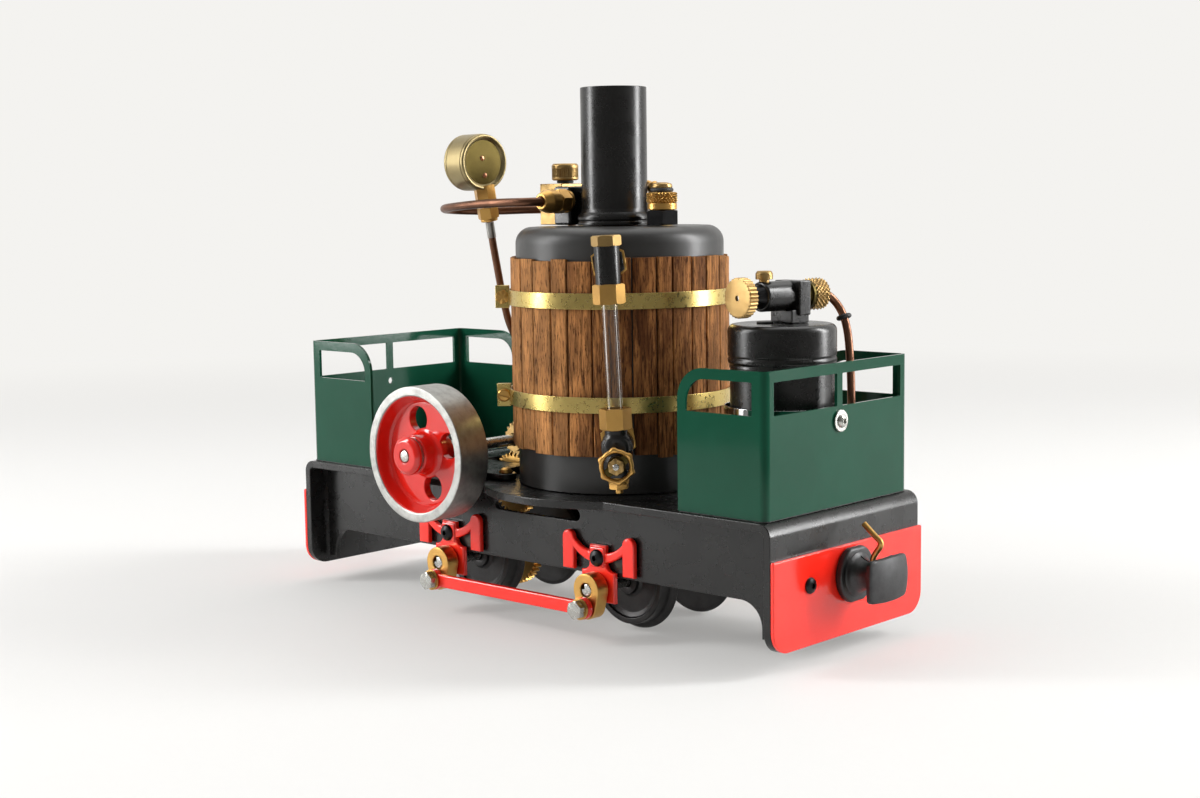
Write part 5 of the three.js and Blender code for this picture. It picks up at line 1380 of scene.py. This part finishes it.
def make_rod(side, label):
    rear, front = pin_place(-1, side), pin_place(1, side)
    half, eye = 2.2, 3.6
    notch = math.degrees(math.asin(half / eye))
    outline = arc(*rear, eye, notch, 360 - notch, 32) + arc(*front, eye, 180 + notch, 540 - notch, 32)
    y0, y1 = sorted((side * 41, side * 43))
    holes = [circle(*rear, 1.75, 24), circle(*front, 1.75, 24)]
    piece(f"coupling_rod_{label}_bar", [plate(outline, y0, y1, "xz", holes, 0.4)], gloss_red,
          f"{label}_rod", f"coupling_rod_{label}")


for end, place in ((1, "front"), (-1, "rear")):
    make_wheelset(end, place)
make_rod(-1, "right")
make_rod(1, "left")


# ---------------------------------------------------------------- gears

PINION_TEETH, IDLER_TEETH, AXLE_TEETH = 20, 35, 43
BORE_R = 2.3


def gear_outline(teeth, phase, centre):
    pitch = GEAR_MODULE * teeth / 2
    step = 2 * math.pi / teeth
    flank = [(-1.15, 0.30), (-0.35, 0.235), (0.35, 0.17), (0.85, 0.09)]
    corners = [(rise, -share) for rise, share in flank] + flank[::-1]
    outline = []
    for i in range(teeth):
        for rise, share in corners:
            angle = phase + (i + share) * step
            radius = pitch + rise * GEAR_MODULE
            outline.append((centre[0] + radius * math.cos(angle), centre[1] + radius * math.sin(angle)))
    return outline


def meshed_phase(phase, radius, start, end, driven_radius):
    """The driven gear's phase that puts its teeth in the driver's gaps."""
    heading = math.atan2(end[1] - start[1], end[0] - start[0])
    return heading + math.pi - (radius * (phase - heading) + math.pi * GEAR_MODULE / 2) / driven_radius


def idler_centre(a, b, from_a, from_b):
    span = math.dist(a, b)
    along = (from_a ** 2 - from_b ** 2 + span ** 2) / (2 * span)
    off = math.sqrt(max(0.0, from_a ** 2 - along ** 2))
    ux, uy = (b[0] - a[0]) / span, (b[1] - a[1]) / span
    return a[0] + ux * along + uy * off, a[1] + uy * along - ux * off


def make_gears():
    shaft, axle = (SHAFT.x, SHAFT.z), (-AXLE_X, AXLE_Z)
    radii = [GEAR_MODULE * teeth / 2 for teeth in (PINION_TEETH, IDLER_TEETH, AXLE_TEETH)]
    idler = idler_centre(shaft, axle, radii[0] + radii[1], radii[1] + radii[2])
    idler_phase = meshed_phase(0, radii[0], shaft, idler, radii[1])
    axle_phase = meshed_phase(idler_phase, radii[1], idler, axle, radii[2])
    wheel = plate(gear_outline(PINION_TEETH, 0, shaft), -5, -1, "xz", [circle(*shaft, BORE_R, 32)], 0.12)
    hub = ring(BORE_R, 4.2, -7.1, -4.8, SHAFT, Y_AXIS)
    piece("pinion_wheel", [wheel, hub], bright_brass, "crankshaft", "pinion", sharp=20)
    wheel = plate(gear_outline(IDLER_TEETH, idler_phase, idler), -4.5, -1.5, "xz", [], 0.12)
    centre = (idler[0], 0, idler[1])
    hub = turned([(0, -7.4), (3.6, -7.4), (3.6, -0.9), (0, -0.9)], centre, Y_AXIS, 48)
    parts = [wheel, hub, disc(1.9, -10.7, -7, centre, Y_AXIS, 32)]
    piece("idler_wheel", parts, turned_brass, "idler", "idler_gear", sharp=20)
    holes = [circle(*axle, BORE_R, 32)]
    for i in range(6):
        turn = math.radians(60 * i)
        holes.append(circle(-AXLE_X + 8 * math.cos(turn), AXLE_Z + 8 * math.sin(turn), 2.1, 24))
    wheel = plate(gear_outline(AXLE_TEETH, axle_phase, axle), -4.5, -1.5, "xz", holes, 0.12)
    hub = ring(BORE_R, 4.6, -1.6, 2.0, (-AXLE_X, 0, AXLE_Z), Y_AXIS)
    piece("axle_gear_wheel", [wheel, hub], turned_brass, "rear_wheelset", "axle_gear", sharp=20)
    return idler


# ---------------------------------------------------------------- engine

def make_flywheel():
    rim = turned([
        (19.9, -54), (23, -54), (23, -41.4), (18.8, -41.4), (18.8, -46.4), (17.6, -47.0), (17.6, -48.4),
        (19.9, -54)], SHAFT, Y_AXIS, 160, 0.35)
    piece("flywheel_rim", [rim], rim_steel, "crankshaft", "flywheel")
    dish = turned([
        (17.2, -48.9), (18.0, -49.6), (19.5, -53.5), (19.85, -53.8), (19.95, -53.4), (18.6, -48.0),
        (17.2, -45.9), (17.2, -48.9)], SHAFT, Y_AXIS, 128, 0.2)
    holes = []
    for i in range(4):
        turn = math.radians(90 * i + 106)
        holes.append(circle(SHAFT.x + 11.9 * math.cos(turn), SHAFT.z + 11.9 * math.sin(turn), 4.3, 40))
    holes.append(circle(SHAFT.x, SHAFT.z, 5.5, 40))
    web = plate(circle(SHAFT.x, SHAFT.z, 17.9, 128), -48.9, -45.9, "xz", holes, 0.35)
    boss = turned([
        (BORE_R, -54.8), (6.2, -54.8), (6.55, -54.3), (6.6, -50.6), (7.2, -49.4), (8.6, -48.8), (8.6, -46),
        (6.4, -45.8), (6.4, -41.4), (BORE_R, -41.4), (BORE_R, -54.8)], SHAFT, Y_AXIS, 96, 0.5)
    collar = turned([
        (BORE_R, -58.4), (5.2, -58.4), (6.5, -57.4), (6.6, -56.4), (6.2, -56.0), (BORE_R, -56.0),
        (BORE_R, -58.4)], SHAFT, Y_AXIS, 96, 0.4)
    # The flywheel centre takes the red darkened as painted shade.
    piece("flywheel_centre", [dish, web, boss, collar], shaded_wheel_red, "crankshaft")
    piece("flywheel_groove", [ring(BORE_R, 5.9, -56.2, -54.6, SHAFT, Y_AXIS)], dull_steel, "crankshaft")
    shaft = turned([(0, -58.4), (2.0, -58.4), (2.0, 26.2), (0, 26.2)], SHAFT, Y_AXIS, 48, 0.3)
    key = disc(2.9, -41.2, -34.6, SHAFT, Y_AXIS, 48, 0.3)
    piece("crankshaft_bar", [shaft, key], bright_steel, "crankshaft", "crankshaft")


def make_engine(idler):
    low = DECK_TOP + GAP
    foot = plate([(-52, -34), (-21.4, -34), (-21.4, 23), (-52, 23)], low, low + 2.2, "xy", [], 0.3)
    open_slot = prism(rounded_rectangle(-44.8, -8.2, -20.5, 0.6, [1] * 4), low - 1, low + 4)
    foot = combined(foot, [open_slot])
    bearing_outline = [(-41, low), (-20, low), (-26.0, 60.3)] + arc(SHAFT.x, SHAFT.z, 5.1, 50, 130, 10)
    bearing_outline += [(-35.0, 60.3)]
    bearing = plate(bearing_outline, -34, -30, "xz", [circle(SHAFT.x, SHAFT.z, 2.35, 32)], 0.4)
    port_outline = [(-43, low), (-18, low), (-22.5, 96)] + arc(SHAFT.x, 94.5, 6.6, 20, 160, 12)
    port_outline += [(-38.5, 96)]
    holes = [circle(SHAFT.x, SHAFT.z, 2.35, 32), circle(SHAFT.x, 84, 1.85, 24)]
    port_plate = plate(port_outline, 20, 23, "xz", holes, 0.4)
    lug = block((idler[0] - 5, -10.4, idler[1] - 5), (idler[0] + 5, -8.25, low + 2.2), 0.3)
    lug = combined(lug, [disc(2.2, -12, -7.6, (idler[0], 0, idler[1]), Y_AXIS, 32, 0)])
    piece("engine_bedplate", [foot, bearing, port_plate, lug], satin_black, replaces="engine_frame")
    tab_outline = [(-23, -30.1), (-14.7, -30.1)] + arc(-14.7, -26.5, 3.6, -80, 80, 12)
    tab_outline += [(-14.7, -22.9), (-23, -22.9)]
    tab = plate(tab_outline, low, low + 2.1, "xy", [], 0.3)
    piece("engine_bed_tab", [tab], satin_black)
    bolt_profile = [(0, 0), (2.3, 0), (2.3, 0.5), (1.9, 1.3), (1.0, 1.9), (0, 2.0)]
    bolts = []
    for x, y in ((-49, -31), (-49, 20), (-49, -12), (-14.7, -26.5)):
        bolts.append(turned(bolt_profile, (x, y, low + 2.1), Z_AXIS, 32))
    piece("engine_bed_screws", bolts, turned_brass)
    bush = [ring(2.35, 3.6, -34.6, -33.9, SHAFT, Y_AXIS), ring(2.35, 3.6, 19.4, 20.1, SHAFT, Y_AXIS)]
    piece("engine_bushes", bush, bright_brass)
    steam = block((-37.2, 16.6, 91.5), (-23.8, 20.1, 98.6), 0.4)
    piece("engine_steam_chest", [steam], turned_brass)
    web = ring(BORE_R, 9.2, 23.4, 26.4, SHAFT, Y_AXIS, 80, 0.3)
    pin = disc(1.3, 24.4, 27.7, (SHAFT.x, 0, SHAFT.z + ENGINE_THROW), Y_AXIS, 32)
    piece("crank_disc_web", [web, pin], bright_steel, "crankshaft")


def make_cylinder():
    x, y, low, high = SHAFT.x, 30.5, 71.0, 97.0
    centre = (x, y, 0)
    body = block((x - 7, 23.3, low + 3), (x + 7, y + 2, high - 3), 0.5)
    barrel = disc(7.0, low + 1.8, high - 1.8, centre, Z_AXIS, 80, 0.3)
    bore = disc(5.0, low - 2, high - 4, centre, Z_AXIS, 48, 0)
    covers = [nut(13.6, foot, foot + 2.2, centre, Z_AXIS, 0, 22.5, 8) for foot in (low, high - 2.2)]
    pivot = disc(1.5, 18.3, 24, (x, 0, 84), Y_AXIS, 32)
    whole = [combined(item, [bore.copy()]) for item in (body, barrel, covers[0])]
    bore.free()
    piece("cylinder_block", [*whole, covers[1], pivot], turned_brass, "cylinder", "cylinder")
    pin_z = SHAFT.z + ENGINE_THROW
    piston = disc(4.7, 86.5, 92.5, centre, Z_AXIS, 48)
    rod = disc(1.3, pin_z + 2, 87, centre, Z_AXIS, 32)
    big_end = ring(1.5, 3.0, y - 2.5, y + 2.5, (x, 0, pin_z), Y_AXIS, 48)
    piece("piston_and_rod", [piston, rod, big_end], bright_steel, "piston", "piston_rod")


idler_place = make_gears()
make_flywheel()
make_engine(idler_place)
make_cylinder()


# ---------------------------------------------------------------- floor, light and camera

PALE = (0.905, 0.895, 0.87)
TARGET = Vector((0.0, 0.005, 0.075))
LENS, SENSOR = 54.0, 36.0
CAMERA_PLACE = Vector((0.42104, -0.44739, 0.14226))
AZIMUTH, ELEVATION = math.radians(42.58), math.radians(6.46)
CAMERA_RIGHT = Vector((0.73730, 0.67542, -0.01371))
FRONT = Vector((math.sin(AZIMUTH), -math.cos(AZIMUTH), 0))
FILL = 0.26
DIM = (0.20, 0.195, 0.185)
FLOOR_R = 4
FLAG_R, FLAG_TOP_Z = 0.46, 0.8


def make_floor():
    mesh = bpy.data.meshes.new("floor")
    mesh.from_pydata(circle_row(FLOOR_R, 0, 64), [], [list(range(64))])
    floor = linked("floor", mesh)
    made, tree, shader = new_material("floor_paper", Roughness=0.9, Specular_IOR_Level=0.1)
    place = place_of(tree)
    paper = mixed(tree, noise(tree, place, 300), (0.665, 0.66, 0.65), (0.68, 0.675, 0.665))
    tree.links.new(paper, shader.inputs["Base Color"])
    glow = node(tree, "Emission", Color=(*PALE, 1))
    share = node(tree, "MapRange", Value=vector_math(tree, "LENGTH", place), From_Min=0.25, From_Max=1.1,
                 To_Min=0.3, interpolation_type="SMOOTHSTEP").outputs[0]
    blend = blended(tree, share, shader.outputs[0], glow.outputs[0])
    tree.links.new(blend, tree.nodes["Material Output"].inputs[0])
    mesh.materials.append(made)


def make_light(name, place, aim, size, power, mirrored_too=True):
    data = bpy.data.lights.new(name, "AREA")
    data.shape = "RECTANGLE"
    data.size, data.size_y = size
    data.energy = power
    light = linked(name, data)
    light.location = place
    light.rotation_mode = "QUATERNION"
    light.rotation_quaternion = (Vector(aim) - Vector(place)).to_track_quat("-Z", "Y")
    light.visible_glossy = mirrored_too


def make_world():
    """A pale room that is dark in front; scattered light comes evenly from all of it."""
    world = bpy.data.worlds.new("studio")
    world.use_nodes = True
    tree = world.node_tree
    bare = tree.nodes["Background"]
    facing = vector_math(tree, "DOT_PRODUCT", node(tree, "TexCoord").outputs["Generated"], FRONT)
    front = spread(tree, facing, -0.14, 0.02)
    tree.links.new(mixed(tree, front, PALE, DIM), bare.inputs[0])
    fill = node(tree, "Background", Color=(0.95, 0.95, 0.94, 1), Strength=FILL)
    backdrop = node(tree, "Background", Color=(*PALE, 1), Strength=1.0)
    ray = node(tree, "LightPath")
    shown = bare.outputs[0]
    for flag, choice in (("Is Diffuse Ray", fill), ("Is Camera Ray", backdrop)):
        shown = blended(tree, ray.outputs[flag], shown, choice.outputs[0])
    tree.links.new(shown, tree.nodes["World Output"].inputs[0])
    bpy.context.scene.world = world


def make_flag():
    """A dim curved screen in front that only reflections see."""
    across = Vector((-FRONT.y, FRONT.x, 0))
    low = []
    for i in range(-16, 17):
        turn = math.radians(5 * i)
        low.append((FRONT * math.cos(turn) + across * math.sin(turn)) * FLAG_R)
    count = len(low)
    mesh = bpy.data.meshes.new("flag")
    faces = [(i, i + 1, count + i + 1, count + i) for i in range(count - 1)]
    mesh.from_pydata(low + [v + Z_AXIS * FLAG_TOP_Z for v in low], [], faces)
    made, tree, shader = new_material("flag_cloth", Base_Color=(0.01, 0.01, 0.01), Roughness=1.0,
                                      Specular_IOR_Level=0.0, Emission_Strength=1.0)
    weave = mixed(tree, noise(tree, place_of(tree), 60), tuple(0.85 * c for c in DIM), DIM)
    tree.links.new(weave, shader.inputs["Emission Color"])
    mesh.materials.append(made)
    flag = linked("flag", mesh)
    flag.visible_camera = flag.visible_diffuse = flag.visible_shadow = False


def make_camera():
    data = bpy.data.cameras.new("camera")
    data.lens, data.sensor_width, data.sensor_fit = LENS, SENSOR, "HORIZONTAL"
    data.clip_start, data.clip_end = 0.01, 50
    camera = bpy.data.objects.new("camera", data)
    back = FRONT * math.cos(ELEVATION) + Z_AXIS * math.sin(ELEVATION)
    right = (CAMERA_RIGHT - back * CAMERA_RIGHT.dot(back)).normalized()
    turn = Matrix((right, back.cross(right), back)).transposed().to_4x4()
    camera.matrix_world = Matrix.Translation(CAMERA_PLACE) @ turn
    bpy.context.scene.collection.objects.link(camera)
    bpy.context.scene.camera = camera


make_floor()
make_world()
make_flag()
side_dir = Vector((-FRONT.y, FRONT.x, 0))
make_light("left_strip", TARGET - side_dir * 1.1 + Z_AXIS * 0.35, TARGET, (0.24, 1.1), 12.5)
make_light("right_strip", TARGET + side_dir * 1.1 + Z_AXIS * 0.35, TARGET, (0.24, 1.1), 19)
make_light("overhead", TARGET + Vector((-0.15, 0.25, 1.1)), TARGET, (1.2, 1.2), 6)
make_light("left_soft", TARGET - side_dir * 0.9 + FRONT * 0.25 + Z_AXIS * 0.4, TARGET, (0.6, 0.6), 5, False)
make_light("right_soft", TARGET + side_dir * 0.9 + FRONT * 0.15 + Z_AXIS * 0.4, TARGET, (0.6, 0.6), 3, False)
make_camera()
bpy.context.scene.view_settings.view_transform = "Standard"
